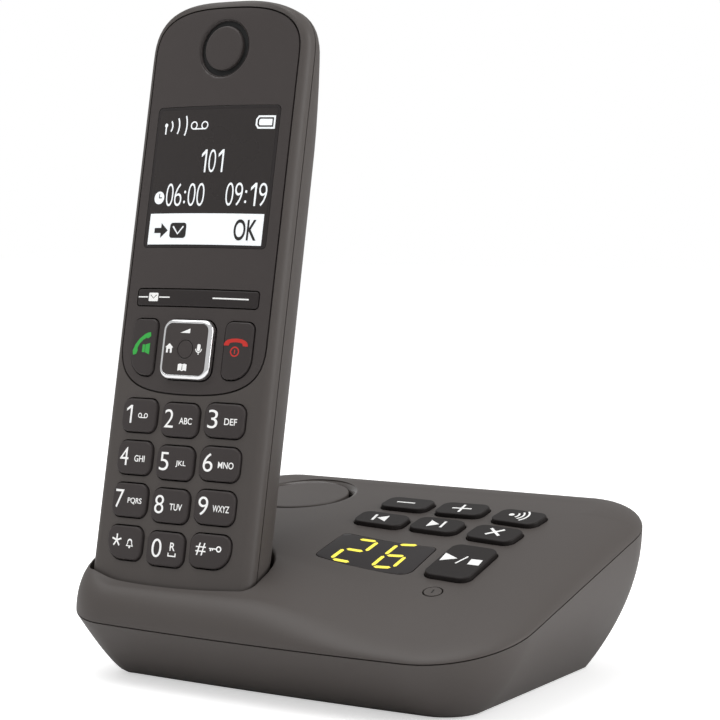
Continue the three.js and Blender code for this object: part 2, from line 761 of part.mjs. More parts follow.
// A sheet that follows the top surface between two depths below it
function skin(dome, mask, top, bottom) {
  return dome.translate([0, 0, -top]).intersect(mask).subtract(dome.translate([0, 0, -bottom]));
}

// Cradle contact: a spring blade that stands up through the pocket's floor
function springBlock(side, extra, above) {
  const middleY = contact.frontY + contact.depth / 2;
  return block(
    new THREE.Vector3(side * contact.x - contact.springWidth / 2 - extra, middleY
    - contact.springDepth / 2 - extra,
      -cradle.clearance - cradle.wall - contact.springBelow + extra),
    new THREE.Vector3(side * contact.x + contact.springWidth / 2 + extra, middleY
      + contact.springDepth / 2 + extra,
      above - fit.gap));
}

function buildBase() {
  const group = new THREE.Group();
  model.add(group);
  const dome = solid(domeForm(0, 0, base.seamGap / 2));
  const pocket = solid(handsetForm(grown(cradle.clearance)).applyMatrix4(handsetPlace));
  const pocketWall = solid(handsetForm(grown(cradle.clearance + cradle.wall)).applyMatrix4(handsetPlace));
  const pocketRelief = solid(handsetForm(grown(cradle.clearance + cradle.wall + cradle.relief))
    .applyMatrix4(handsetPlace));
  addMesh(group, 'base_upper_housing', geometryOf(buildUpper(dome, pocket, pocketWall)), finish.housing);
  addMesh(group, 'base_lower_housing', geometryOf(buildLower(pocketRelief)), finish.housing);

  footPlaces.forEach(([x, y], i) => {
    addMesh(group, `base_foot_${i + 1}`, cylinder(foot.radius, 0, foot.thickness, x, y), finish.rubber);
  });
  screwPlaces.forEach(({ x, y }, i) => {
    const geometry = turned([[0, 0], [screw.headRadius, 0], [screw.headRadius, screw.headHeight],
      [screw.shaftRadius, screw.headHeight], [screw.shaftRadius, screw.headHeight + screw.length],
      [0, screw.headHeight + screw.length]], 16);
    geometry.translate(x, y, screwBottom);
    addMesh(group, `base_screw_${i + 1}`, geometry, finish.steel);
  });

  let circuit = boardForm(0);
  for (const { x, y } of screwPlaces) {
    circuit = circuit.subtract(solid(cylinder(screw.postRadius + fit.gap, 0, cut, x, y)));
  }
  addMesh(group, 'base_circuit_board', geometryOf(circuit), finish.board);
  const window = skin(dome, windowPrism(0, -cut, cut), 0, deck.windowThickness);
  addMesh(group, 'led_window', geometryOf(window), finish.window);
  const moduleTop = deck.windowThickness + fit.gap;
  const ledModule = skin(dome, windowPrism(-deck.moduleMargin, -cut, cut), moduleTop,
    moduleTop + deck.moduleThickness);
  addMesh(group, 'led_digit_module', geometryOf(ledModule), finish.black);
  addMesh(group, 'base_key_mat', geometryOf(buildMat(dome)), finish.rubber);

  const disc = skin(dome, discCut(deck.discRadius, -cut, cut), 0, deck.discThickness);
  addMesh(group, 'speaker_cover', geometryOf(disc), finish.housing);
  addSpeaker(group);
  addJacks(group);
  for (const [name, side] of [['cradle_contact_left', -1], ['cradle_contact_right', 1]]) {
    addMesh(group, name, springBlock(side, 0, 0).applyMatrix4(handsetPlace), finish.gold);
  }
  for (const key of baseKeys) {
    const width = key.play ? baseKey.playWidth : baseKey.width;
    const height = key.play ? baseKey.playHeight : baseKey.height;
    const geometry = key.round
      ? prism(baseKeyShape(key, 0), -baseKey.sink, baseKey.onOffRise)
      : cap(width, height, baseKey.corner, -baseKey.sink, baseKey.rise, baseKey.bevel);
    addMesh(group, key.name, geometry.applyMatrix4(baseKeyFrame(key)),
      key.round ? finish.housing : finish.baseKey);
  }
}

// The key mat: one arm under the two rows of small keys, one under the right-hand column
function buildMat(dome) {
  const reachX = baseKey.playWidth / 2 + deck.matMargin;
  const reachY = baseKey.height / 2 + deck.matMargin;
  const arm = (keys) => {
    const xs = keys.map((key) => key.x);
    const ys = keys.map((key) => key.y);
    return solid(block(new THREE.Vector3(Math.min(...xs) - reachX, Math.min(...ys) - reachY, 0),
      new THREE.Vector3(Math.max(...xs) + reachX, Math.max(...ys) + reachY, cut)));
  };
  const rows = baseKeys.filter((key) => !key.play && !key.round);
  const column = baseKeys.filter((key) => key.column);
  let outlineOfMat = arm(rows).add(arm(column));
  for (const { x, y } of screwPlaces) {
    outlineOfMat = outlineOfMat.subtract(solid(cylinder(screw.postRadius + fit.gap, -cut, 2 * cut, x, y)));
  }
  return skin(dome, outlineOfMat, deck.matDepth, deck.matDepth + deck.matThickness);
}

function addSpeaker(group) {
  const top = -base.wall - fit.gap - fit.gap;
  const geometry = turned([
    [0, top - deck.driverFlange], [deck.basketRadius, top - deck.driverFlange], [deck.driverRadius, top
      - deck.driverFlange],
    [deck.driverRadius, top], [0, top]], 28);
  const basket = turned([
    [0, top - deck.driverFlange - deck.basketDepth - deck.magnetDepth],
    [deck.magnetRadius, top - deck.driverFlange - deck.basketDepth - deck.magnetDepth],
    [deck.magnetRadius, top - deck.driverFlange - deck.basketDepth],
    [deck.basketRadius, top - deck.driverFlange + deck.driverFlange / 2],
    [0, top - deck.driverFlange / 2]], 28);
  const frame = surfaceFrame(discX, discY, 0);
  const driver = solid(geometry).add(solid(basket));
  addMesh(group, 'speaker_driver', geometryOf(driver).applyMatrix4(frame), finish.black);
}

function addJacks(group) {
  for (const [name, x] of jackPlaces()) {
    const body = solid(block(
      new THREE.Vector3(x - jack.width / 2, recessFront - jack.depth, recessMiddle - jack.height / 2),
      new THREE.Vector3(x + jack.width / 2, recessFront, recessMiddle + jack.height / 2)));
    const mouth = solid(block(
      new THREE.Vector3(x - jack.mouthWidth / 2, recessFront - jack.mouthDepth, recessMiddle
      - jack.mouthHeight / 2),
      new THREE.Vector3(x + jack.mouthWidth / 2, recessFront + fit.overrun, recessMiddle
      + jack.mouthHeight / 2)));
    addMesh(group, name, geometryOf(body.subtract(mouth)), finish.black);
  }
}

// The handset

function plateShape(extra) {
  const half = handset.width / 2 - plate.margin + extra;
  const archFrom = handset.length - handset.archHeight;
  const rise = handset.archHeight - plate.archMargin + extra;
  const bottom = plate.bottom - extra;
  const shape = new THREE.Shape();
  shape.moveTo(0, bottom);
  shape.bezierCurveTo(half * plate.handleShare, bottom, half, bottom + plate.handle, half, plate.shoulder);
  shape.lineTo(half, archFrom);
  for (const angle of archAngles) {
    shape.lineTo(half * Math.cos(angle) ** (2 / archPower), archFrom
      + rise * Math.sin(angle) ** (2 / archPower));
  }
  for (const angle of [...archAngles].reverse()) {
    shape.lineTo(-half * Math.cos(angle) ** (2 / archPower), archFrom
      + rise * Math.sin(angle) ** (2 / archPower));
  }
  shape.lineTo(-half, archFrom);
  shape.lineTo(-half, plate.shoulder);
  shape.bezierCurveTo(-half, bottom + plate.handle, -half * plate.handleShare, bottom, 0, bottom);
  return shape;
}

function placed(shape, x, z, steps = curveSteps) {
  return new THREE.Shape(shape.getPoints(steps).map((p) => new THREE.Vector2(p.x + x, p.y + z)));
}

const keyNames = [
  ['key_star', 'key_0', 'key_hash'],
  ['key_7', 'key_8', 'key_9'],
  ['key_4', 'key_5', 'key_6'],
  ['key_1', 'key_2', 'key_3'],
];

// The rows bow: their outer keys sit higher than the middle one
function digitKeys() {
  const keys = [];
  keyNames.forEach((row, r) => row.forEach((name, c) => {
    const corners = [keypad.corner, keypad.corner, keypad.corner, keypad.corner];
    if (name === 'key_star') {
      corners[0] = keypad.cornerLarge;
    }
    if (name === 'key_hash') {
      corners[1] = keypad.cornerLarge;
    }
    const z = keypad.firstRow + r * keypad.pitchZ + keypad.rowBow * (c - 1) ** 2;
    keys.push({ name, x: (c - 1) * digitPitch, z, corners });
  }));
  return keys;
}

function callKeys() {
  const outer = handset.width / 2 - callKey.side;
  const within = nav.size / 2 + callKey.navGap;
  const width = outer - within;
  const height = callKey.top - callKey.bottom;
  const x = (outer + within) / 2;
  const z = (callKey.top + callKey.bottom) / 2;
  const r = callKey.corner;
  return [
    { name: 'talk_key', x: -x, z, width, height, corners: [callKey.cornerLarge, r, r, r] },
    { name: 'end_key', x, z, width, height, corners: [r, callKey.cornerLarge, r, r] },
  ];
}

function crownAt(x) {
  return x * x / (2 * handset.crownRadius);
}

// A frame on the face at x, z, following the crown
function faceFrame(x, z) {
  const matrix = new THREE.Matrix4().makeRotationZ(Math.asin(x / handset.crownRadius));
  matrix.setPosition(x, crownAt(x), z);
  return matrix;
}

function buildHandset() {
  const group = new THREE.Group();
  group.applyMatrix4(handsetPlace);
  model.add(group);
  const outer = solid(handsetForm(same));
  const hollow = solid(handsetForm({ side: -handset.wall, front: -handset.frontWall, rear: -handset.wall,
    end: -handset.wall }));
  const seamFront = handset.seamDepth - handset.seamGap / 2;
  const seamRear = handset.seamDepth + handset.seamGap / 2;
  const wide = handset.width;
  const frontHalf = solid(block(new THREE.Vector3(-wide, -wide, -wide),
    new THREE.Vector3(wide, seamFront, handset.length + wide)));
  const rearHalf = solid(block(new THREE.Vector3(-wide, seamRear, -wide),
    new THREE.Vector3(wide, wide, handset.length + wide)));

  const wallForm = outer.subtract(hollow);
  addFrontPieces(group, outer, wallForm.intersect(frontHalf));
  addRearPieces(group, outer, rearHalf, wallForm);
  addInnerPieces(group, outer);
}

function addFrontPieces(group, outer, frontShell) {
  let shell = frontShell;
  const deep = handset.seamDepth;
  const slot = solid(facePrism(plateShape(plate.groove), -deep, deep, plateSteps)).subtract(
    outer.translate([0, plate.thickness + fit.gap, 0]));
  shell = shell.subtract(slot);
  let face = outer.intersect(solid(facePrism(plateShape(0), -deep, deep, plateSteps)))
    .subtract(outer.translate([0, plate.thickness, 0]));
  const through = (shape) => solid(facePrism(shape, -deep, deep));
  const keyHole = (key, width, height) => {
    const shape = roundedShape(width + 2 * fit.keyGap, height + 2 * fit.keyGap,
      key.corners.map((r) => r + fit.keyGap));
    return solid(facePrism(shape, -deep, deep).applyMatrix4(faceFrame(key.x, key.z)));
  };

  for (const key of digitKeys()) {
    shell = shell.subtract(keyHole(key, digitWidth, keypad.height));
    const geometry = faceCap(digitWidth, keypad.height, key.corners, -keypad.rise, keypad.sink, keypad.bevel)
      .applyMatrix4(faceFrame(key.x, key.z));
    addMesh(group, key.name, geometry, finish.handsetKey);
  }
  for (const key of callKeys()) {
    const hole = keyHole(key, key.width, key.height);
    shell = shell.subtract(hole);
    face = face.subtract(hole);
    const geometry = faceCap(key.width, key.height, key.corners, -callKey.rise, callKey.sink, keypad.bevel)
      .applyMatrix4(faceFrame(key.x, key.z));
    addMesh(group, key.name, geometry, finish.plate);
  }

  const rockerHole = through(placed(roundedShape(rockerWidth + 2 * fit.keyGap, rocker.height + 2 * fit.keyGap,
    rocker.corner), 0, rocker.centreZ));
  shell = shell.subtract(rockerHole);
  face = face.subtract(rockerHole);
  const bar = solid(facePrism(placed(roundedShape(rockerWidth, rocker.height, rocker.corner), 0,
    rocker.centreZ),
    -deep, deep));
  const rockerBar = outer.translate([0, -rocker.rise, 0]).intersect(bar).subtract(
    outer.translate([0, rocker.sink, 0]));
  addMesh(group, 'display_key_rocker', geometryOf(rockerBar), finish.plate);

  const navHole = through(placed(roundedShape(nav.size + 2 * fit.keyGap, nav.size + 2 * fit.keyGap,
    nav.corner + fit.keyGap), 0, nav.centreZ));
  shell = shell.subtract(navHole);
  face = face.subtract(navHole);
  addNavKey(group);

  const glass = roundedShape(screenWidth, screen.top - screen.bottom, screen.corner);
  const screenZ = (screen.top + screen.bottom) / 2;
  const pane = outer.intersect(through(placed(glass, 0, screenZ))).subtract(
    outer.translate([0, screen.thickness, 0]));
  addMesh(group, 'display_window', geometryOf(pane), finish.window);
  const paneHole = through(placed(roundedShape(screenWidth + 2 * fit.gap, screen.top - screen.bottom
    + 2 * fit.gap,
    screen.corner), 0, screenZ));
  shell = shell.subtract(paneHole);
  face = face.subtract(paneHole);

  const earHole = through(placed(circleShape(ear.radius + fit.gap), 0, ear.centreZ, discSteps));
  shell = shell.subtract(earHole);
  face = face.subtract(earHole);
  const disc = turned([[0, -ear.thickness], [ear.radius, -ear.thickness], [ear.radius, 0],
    [(ear.radius + ear.ringInner) / 2, -ear.grooveDepth], [ear.ringInner, 0], [0, 0]], 28);
  disc.rotateX(Math.PI / 2);
  disc.translate(0, 0, ear.centreZ);
  addMesh(group, 'earpiece_disc', disc, finish.plate);
  addMesh(group, 'handset_face_plate', geometryOf(face), finish.plate);
  addMesh(group, 'handset_front_shell', geometryOf(shell), finish.housing);
}

function addNavKey(group) {
  const hollowSize = nav.size - 2 * nav.ring;
  const padSize = hollowSize - 2 * fit.gap;
  const frame = new THREE.Matrix4().makeTranslation(0, 0, nav.centreZ);
  const ring = solid(faceCap(nav.size, nav.size, nav.corner, -nav.rise, nav.sink, nav.bevel)).subtract(
    solid(facePrism(roundedShape(hollowSize, hollowSize, nav.corner - nav.ring), -nav.rise - fit.overrun,
      nav.sink + fit.overrun)));
  addMesh(group, 'nav_ring', geometryOf(ring).applyMatrix4(frame), finish.chrome);
  const pad = solid(facePrism(roundedShape(padSize, padSize, nav.corner - nav.ring - fit.gap), -nav.rise
    + fit.gap,
    nav.sink)).subtract(solid(facePrism(circleShape(nav.centreRadius + fit.gap), -nav.rise - fit.overrun,
    nav.sink + fit.overrun)));
  addMesh(group, 'nav_pad', geometryOf(pad).applyMatrix4(frame), finish.plate);
  const centre = faceCap(2 * nav.centreRadius, 2 * nav.centreRadius, nav.centreRadius, -nav.rise + fit.gap,
    nav.sink - fit.gap, fit.gap);
  addMesh(group, 'nav_centre_key', centre.applyMatrix4(frame), finish.plate);
  const pivot = facePrism(roundedShape(nav.pivotSize, nav.pivotSize, nav.corner), nav.pivotTop,
    pivotBottom);
  addMesh(group, 'nav_pivot', pivot.applyMatrix4(frame), finish.rubber);
}

function doorShape(extra) {
  const height = door.top - door.bottom;
  return placed(roundedShape(2 * (doorHalfWidth + extra), height + 2 * extra, door.corner + extra), 0,
    door.bottom + height / 2);
}

// The battery bay: a tray in the rear shell, open towards the door
function bayBox(extra) {
  const halfX = 2 * cell.radius + cell.gap * 3 / 2 + extra;
  return block(
    new THREE.Vector3(-halfX, bayFloor + cell.wall - extra, cell.lowZ - cell.gap - extra),
    new THREE.Vector3(halfX, handset.width, cell.lowZ + cell.length + cell.capLength + cell.gap + extra));
}

function addRearPieces(group, outer, half, wallForm) {
  const behind = handset.seamDepth + handset.rearDepthBottom / 2;
  const far = handset.width;
  const opening = solid(facePrism(doorShape(door.gap), behind, far));
  const under = outer.translate([0, -door.thickness - door.gap, 0]);
  const panInside = outer.translate([0, -door.thickness - door.gap - handset.wall, 0]);
  const pan = outer.subtract(panInside).intersect(solid(facePrism(doorShape(door.gap + handset.wall),
    behind, far)));
  const tray = solid(bayBox(cell.wall)).intersect(outer);
  let shell = wallForm.add(pan).add(tray).intersect(half);
  const bay = outer.translate([0, -door.thickness / 2, 0]);
  shell = shell.subtract(solid(bayBox(0)).intersect(bay));
  shell = shell.subtract(opening.subtract(under));
  for (const side of [-1, 1]) {
    shell = shell.subtract(solid(contactBlock(side, fit.gap)));
  }
  addMesh(group, 'handset_rear_shell', geometryOf(shell), finish.housing);
  const cover = outer.intersect(solid(facePrism(doorShape(0), behind, far))).subtract(
    outer.translate([0, -door.thickness, 0]));
  addMesh(group, 'battery_door', geometryOf(cover), finish.housing);
  const middleY = bayFloor + cell.wall + cell.gap + cell.radius;
  for (const [name, side] of [['battery_left', -1], ['battery_right', 1]]) {
    const geometry = turned([[0, 0], [cell.radius, 0], [cell.radius, cell.length], [cell.capRadius,
      cell.length],
      [cell.capRadius, cell.length + cell.capLength], [0, cell.length + cell.capLength]], 20);
    geometry.translate(side * (cell.radius + cell.gap / 2), middleY, cell.lowZ);
    addMesh(group, name, geometry, finish.cell);
  }
  for (const [name, side] of [['charge_contact_left', -1], ['charge_contact_right', 1]]) {
    addMesh(group, name, contactBlock(side, 0), finish.gold);
  }
}

function contactBlock(side, extra) {
  const floor = extra > 0 ? -fit.overrun : 0;
  return block(
    new THREE.Vector3(side * contact.x - contact.width / 2 - extra, contact.frontY - extra, floor),
    new THREE.Vector3(side * contact.x + contact.width / 2 + extra, contact.frontY + contact.depth + extra,
      contact.height));
}

function addInnerPieces(group, outer) {
  const low = handset.cornerBottom + inner.margin;
  const sheet = (width, from, to, top, thickness) => {
    const shape = placed(roundedShape(width, to - from, keypad.corner), 0, (from + to) / 2);
    return facePrism(shape, top, top + thickness);
  };
  const matHigh = rocker.centreZ + rocker.height;
  const pivotHole = placed(roundedShape(nav.pivotSize + 2 * fit.keyGap, nav.pivotSize + 2 * fit.keyGap,
    nav.corner),
    0, nav.centreZ);
  const mat = solid(sheet(matWidth, low, matHigh, 0, handset.rearDepthTop))
    .intersect(outer.translate([0, inner.matTop, 0]))
    .subtract(outer.translate([0, inner.matTop + inner.matThickness, 0]))
    .subtract(solid(facePrism(pivotHole, 0, handset.rearDepthTop)));
  addMesh(group, 'handset_key_mat', geometryOf(mat), finish.rubber);
  const boardHigh = ear.centreZ - ear.receiverRadius - inner.boardThickness;
  addMesh(group, 'handset_circuit_board', sheet(matWidth + inner.margin, low, boardHigh, boardDepth,
    inner.boardThickness), finish.board);
  const moduleTop = crownAt(screenWidth / 2) + screen.thickness + fit.gap;
  addMesh(group, 'display_module', sheet(screenWidth - 2 * screen.moduleMargin, screen.bottom
    + screen.moduleMargin,
    screen.top - screen.moduleMargin, moduleTop, screen.moduleThickness), finish.black);
  const receiver = turned([[0, -ear.receiverDepth], [ear.receiverRadius, -ear.receiverDepth],
    [ear.receiverRadius, 0], [0, 0]], 24);
  receiver.rotateX(Math.PI / 2);
  receiver.translate(0, ear.thickness + fit.gap, ear.centreZ);
  addMesh(group, 'earpiece_receiver', receiver, finish.steel);
}

buildBase();
buildHandset();

export default model;
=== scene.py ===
# %% [markdown]
# # An answering machine with its cordless handset
# The object is a desk-top base station with a handset in its cradle, both moulded in warm grey
# plastic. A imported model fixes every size, place and motion. This lesson dresses it: each visible
# shell is built again on a much finer grid from the same few sizes, so that light runs smoothly
# over it, and what is hidden inside keeps its exact shape and gets a real finish.

# %% Load the frame
import math
from types import SimpleNamespace as Sizes

import bmesh
import bpy
import numpy as np
from mathutils import Matrix, Vector


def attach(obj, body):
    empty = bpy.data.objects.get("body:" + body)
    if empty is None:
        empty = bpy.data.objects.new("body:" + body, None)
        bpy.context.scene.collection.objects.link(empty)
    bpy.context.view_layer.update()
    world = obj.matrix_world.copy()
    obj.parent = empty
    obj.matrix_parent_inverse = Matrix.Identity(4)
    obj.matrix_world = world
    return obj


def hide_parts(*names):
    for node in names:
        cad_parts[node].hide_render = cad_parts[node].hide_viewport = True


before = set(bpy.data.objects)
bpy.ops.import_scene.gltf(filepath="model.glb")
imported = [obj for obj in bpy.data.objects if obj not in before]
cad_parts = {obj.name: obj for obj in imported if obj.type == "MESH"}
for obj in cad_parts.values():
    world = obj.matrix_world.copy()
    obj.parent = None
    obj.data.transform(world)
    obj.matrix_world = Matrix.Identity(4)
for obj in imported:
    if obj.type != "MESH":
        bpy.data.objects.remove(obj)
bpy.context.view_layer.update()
MM = 0.001

# %% [markdown]
# ## The driving sizes
# Everything here is in millimetres, with the origin on the table under the middle of the base. They
# are the sizes of the real machine, written once. Each curve further down is worked out from them.

# %% The base station
base = Sizes(
    width=121.3, depth=95.5, front_bow=0.8,
    corner_front_left=15.5, corner_front_right=22, corner_back_right=18, corner_back_left=16,
    seam_height=14.6, seam_rise=23.8, edge_height=3.5, crown_height=2.45,
    roll_front_left=5, roll_front_right=10, roll_right=17, roll_back=10, roll_left=5,
    foot_inset=12.9, foot_shift=0.8, wall=2.2, seam_gap=0.3, floor_height=0.3)
mound = Sizes(
    height=6.1, half_width=18, centre_x=-0.4, front_shift=11, shift_start=22, shift_length=21,
    back_start=10.8, back_length=75, lip_share=0.45, lip_width=16, lip_length=26)
fall = Sizes(depth=2.5, start_x=6, length_x=50, start_y=10.75, length_y=77)
bowl = Sizes(low_height=15, high_height=35, low_power=0.7, high_power=1.9)
front_y = -base.depth / 2
print("base", base.width, "by", base.depth)

# %% The handset and the cradle
handset = Sizes(
    length=152, width=47.4, lean=math.radians(11.56), crown_radius=163, edge_radius=2.8,
    edge_least=0.6, seam_depth=5.2, rear_depth_top=15.4, rear_depth_bottom=17.2,
    arch_height=14.5, corner_bottom=5, round_front=2.2, round_rear=11, round_length=38,
    wall=1.8, front_wall=2.4, seam_gap=0.3, centre_from_left=29, face_from_front=6.25,
    rest_height=16.94, arch_power=2.9, rear_power=2.25)
cradle = Sizes(clearance=0.8, wall=1.8, rim=0.7)
gap = 0.3
overrun = 2
print("handset", handset.length, "by", handset.width)

# %% [markdown]
# ## Curves that the shells share
# The top of the base is a tilted plane with a slight crown. A mound rises out of it towards the
# cradle, and it falls away a little towards the front right corner. Smooth steps blend both into the
# plane. Because the surface is a formula, keys, windows and printed marks can all ask it for their
# height and their slope.

# %% Height of the top surface
def smooth(start, end, value):
    """0 before start, 1 after end, and an even S curve between them."""
    t = np.clip((np.asarray(value, float) - start) / (end - start), 0, 1)
    return t * t * (3 - 2 * t)


def seam_z(y):
    return base.seam_height + base.seam_rise * (y - front_y) / base.depth


def top_z(x, y):
    shift = np.clip((-mound.shift_start - y) / mound.shift_length, 0, 1)
    centre = mound.centre_x + mound.front_shift * shift
    across = 1 - smooth(0, 2 * mound.half_width, x - centre + mound.half_width)
    along = 1 - smooth(front_y + mound.back_start, front_y + mound.back_start + mound.back_length, y)
    crown = base.crown_height * (1 - (2 * y / base.depth) ** 2)
    lip = smooth(-base.width / 2, -base.width / 2 + mound.lip_width, x)
    lip = lip * (1 - smooth(front_y, front_y + mound.lip_length, y))
    rise = mound.height * across * along * (1 - mound.lip_share * lip)
    fallen = fall.depth * smooth(fall.start_x, fall.start_x + fall.length_x, x)
    fallen = fallen * (1 - smooth(front_y + fall.start_y, front_y + fall.start_y + fall.length_y, y))
    return seam_z(y) + base.edge_height + crown + rise - fallen


print("top at the middle", round(float(top_z(0, 0)), 2), "mm")

# %% Outline of the seam, with its outward direction and the width of its rolled edge
def seam_outline(corner_steps=14, straight_steps=16):
    half_width, half_depth = base.width / 2, base.depth / 2
    corners = [
        (base.corner_front_right, 1, -1, base.roll_front_right, base.roll_right),
        (base.corner_back_right, 1, 1, base.roll_right, base.roll_back),
        (base.corner_back_left, -1, 1, base.roll_back, base.roll_left),
        (base.corner_front_left, -1, -1, base.roll_left, base.roll_front_left)]
    arcs = []
    for k, (radius, side_x, side_y, roll_start, roll_end) in enumerate(corners):
        centre_x = side_x * (half_width - radius)
        centre_y = side_y * (half_depth - radius) + (base.front_bow if side_y < 0 else 0)
        share = np.linspace(0, 1, corner_steps + 1)
        angle = (k - 1 + share) * math.pi / 2
        nx, ny = np.cos(angle), np.sin(angle)
        roll = roll_start + (roll_end - roll_start) * share
        arcs.append(np.stack([centre_x + radius * nx, centre_y + radius * ny, nx, ny, roll], 1))
    outline = []
    for k, arc in enumerate(arcs):
        outline.append(arc)
        share = np.linspace(0, 1, straight_steps + 1)[1:-1, None]
        straight = arc[-1] + (arcs[(k + 1) % 4][0] - arc[-1]) * share
        straight[:, 2:4] = arc[-1, 2:4]
        if k == 3:
            straight[:, 1] -= base.front_bow * (1 - (2 * share[:, 0] - 1) ** 2)
        outline.append(straight)
    return np.concatenate(outline)


outline = seam_outline()
print("outline points", len(outline))

# %% Rings of the domed top and of the bowl under it
def at_height(points, height):
    """Flat points, lifted to one height or to a height each."""
    return np.column_stack([points, np.zeros(len(points)) + height])


def on_top(points, lift=0.0):
    """Flat points, raised to the top surface and then by lift."""
    return at_height(points, top_z(*points.T) + lift)


def inwards(distance):
    """The seam's outline in plan, moved in by one distance or by a distance each."""
    return outline[:, :2] - outline[:, 2:4] * np.reshape(distance, (-1, 1))


def dome_rings(inset, drop, bottom, roll_steps=14, middle_steps=26):
    low, full, roll = inwards(inset), inwards(outline[:, 4]), outline[:, 4]
    rings = [at_height(low, seam_z(low[:, 1]) + bottom)]
    rise = top_z(*full.T) - seam_z(full[:, 1]) - drop
    for angle in np.linspace(0, math.pi / 2, roll_steps + 1)[0 if bottom < 0 else 1:]:
        ring = inwards(inset + (roll - inset) * (1 - math.cos(angle)))
        rings.append(at_height(ring, seam_z(ring[:, 1]) + rise * math.sin(angle)))
    edge = rings[-1][:, :2]
    shares = np.linspace(0, 1, middle_steps + 1)[1:-1]
    return rings + [on_top(edge * (1 - share), -drop) for share in shares]


def bowl_inset(z, height, side):
    t = np.clip(z / height, 0, 1)
    high = np.clip((height - bowl.low_height) / (bowl.high_height - bowl.low_height), 0, 1)
    spread = (1 - high) * t ** bowl.low_power + high * (1 - (1 - t) ** bowl.high_power)
    return (base.foot_inset + base.foot_shift * side) * (1 - spread)


def bowl_rings(inset, bottom, above, steps=20):
    height = seam_z(outline[:, 1]) - base.floor_height
    rings = []
    for share in np.linspace(0, 1, steps + 1):
        ring = inwards(bowl_inset(bottom + share * (height - bottom), height, outline[:, 2]) + inset)
        rim = seam_z(ring[:, 1]) - base.seam_gap / 2 - base.floor_height
        rings.append(at_height(ring, base.floor_height + bottom + share * (rim - bottom)))
    return rings + [rings[-1] + [0, 0, above]] if above else rings


print("dome rings", len(dome_rings(0, 0, base.seam_gap / 2)))

# %% Sections of the handset, in its own frame: x across, y from the face back, z up its length
def crown_at(x):
    return np.asarray(x) ** 2 / (2 * handset.crown_radius)


def power_arc(angle, power):
    return abs(math.cos(angle)) ** (2 / power), abs(math.sin(angle)) ** (2 / power)


def handset_section(z, low=0.0, high=0.0, arch=1.0, grow=0.0, end=0.0):
    low_round = 1 - math.sqrt(1 - low * low)
    high_round = 1 - math.sqrt(1 - high * high)
    half = (handset.width / 2 - handset.corner_bottom * low_round) * arch + grow
    front = handset.round_front * (low_round + high_round ** 3) - grow
    front = min(front, handset.seam_depth - float(crown_at(half)) - handset.edge_least)
    along = z / handset.length
    deep = handset.rear_depth_bottom + (handset.rear_depth_top - handset.rear_depth_bottom) * along
    fall = max(0, 1 - (handset.length - z) / handset.round_length)
    rear = deep - handset.round_rear * (low_round / 4 + fall ** 2) + grow
    edge = min(handset.edge_radius, half / 2, handset.seam_depth - front - float(crown_at(half)))
    right = []
    for share in np.linspace(0, 1, 9)[:-1]:
        x = (half - edge) * share
        right.append((x, front + float(crown_at(x))))
    for angle in np.linspace(0, math.pi / 2, 8):
        x = half - edge + edge * math.sin(angle)
        right.append((x, front + float(crown_at(half - edge)) + edge * (1 - math.cos(angle))))
    for share in np.linspace(0, 1, 22)[:-1]:
        across, back = power_arc(share * math.pi / 2, handset.rear_power)
        right.append((half * across, handset.seam_depth + rear * back))
    section = right + [(0, handset.seam_depth + rear)] + [(-x, y) for x, y in right[:0:-1]]
    return np.array([(x, y, z + end) for x, y in section])


corner_shares = (0, 0.03, 0.1, 0.2, 0.35, 0.55, 0.78, 1)
arch_degrees = (5, 10, 16, 22, 28, 34, 40, 46, 52, 58, 63, 68, 72, 76, 79.5, 82.5)
full_height_degrees = 78


def handset_rings(grow=0.0):
    def ring(z, **form):
        return handset_section(z, grow=grow, end=-grow if z < handset.length / 2 else grow, **form)

    start, end = handset.corner_bottom, handset.length - handset.arch_height
    rings = [ring(share * start, low=1 - share) for share in corner_shares]
    rings += [ring(start + (end - start) * share) for share in np.linspace(0, 1, 26)[1:]]
    top = power_arc(math.radians(full_height_degrees), handset.arch_power)[1]
    for angle in np.radians(arch_degrees):
        across, up = power_arc(angle, handset.arch_power)
        rings.append(ring(end + handset.arch_height * up / top, high=math.sin(angle), arch=across))
    return rings


handset_matrix = Matrix.Translation((
    -base.width / 2 + handset.centre_from_left, front_y + handset.face_from_front,
    handset.rest_height)) @ Matrix.Rotation(-handset.lean, 4, "X")
print("handset section points", len(handset_section(50)))

# %% [markdown]
# ## Turning curves into meshes
# A loft joins rings of points with quads and closes both ends. Holes are then cut with the Boolean
# modifier: its Manifold solver is quick, and it keeps the fine quads away from the cut as they are.
# A weighted-normal modifier lets the large faces decide the shading, so slivers beside a cut don't
# show.

# %% Loft, block and placing
def loft(rings, endless=False):
    """Joins rings with quads. The ends are closed, or joined to each other if the loft is endless."""
    count, total = len(rings[0]), len(rings)
    faces = []
    for r in range(total if endless else total - 1):
        here, there = r * count, (r + 1) % total * count
        for i in range(count):
            j = (i + 1) % count
            faces.append((here + i, here + j, there + j, there + i))
    if not endless:
        last = (total - 1) * count
        faces += [tuple(range(count))[::-1], tuple(range(last, last + count))]
    return np.concatenate(rings), faces


def moved(vertices, matrix):
    array = np.array(matrix)
    return vertices @ array[:3, :3].T + array[:3, 3]


def on_handset(shape):
    return moved(shape[0], handset_matrix), shape[1]


def block(x, half_width, y, z):
    """A block about x, with the two ends of its y and of its z."""
    low, high = x - half_width, x + half_width
    ring = [(low, y[0]), (high, y[0]), (high, y[1]), (low, y[1])]
    return loft([at_height(ring, c) for c in z])


def circle(radius, sides=48):
    angle = np.arange(sides) * 2 * math.pi / sides
    return radius * np.stack([np.cos(angle), np.sin(angle)], 1)


quarters = [(-1, -1), (1, -1), (1, 1), (-1, 1)]


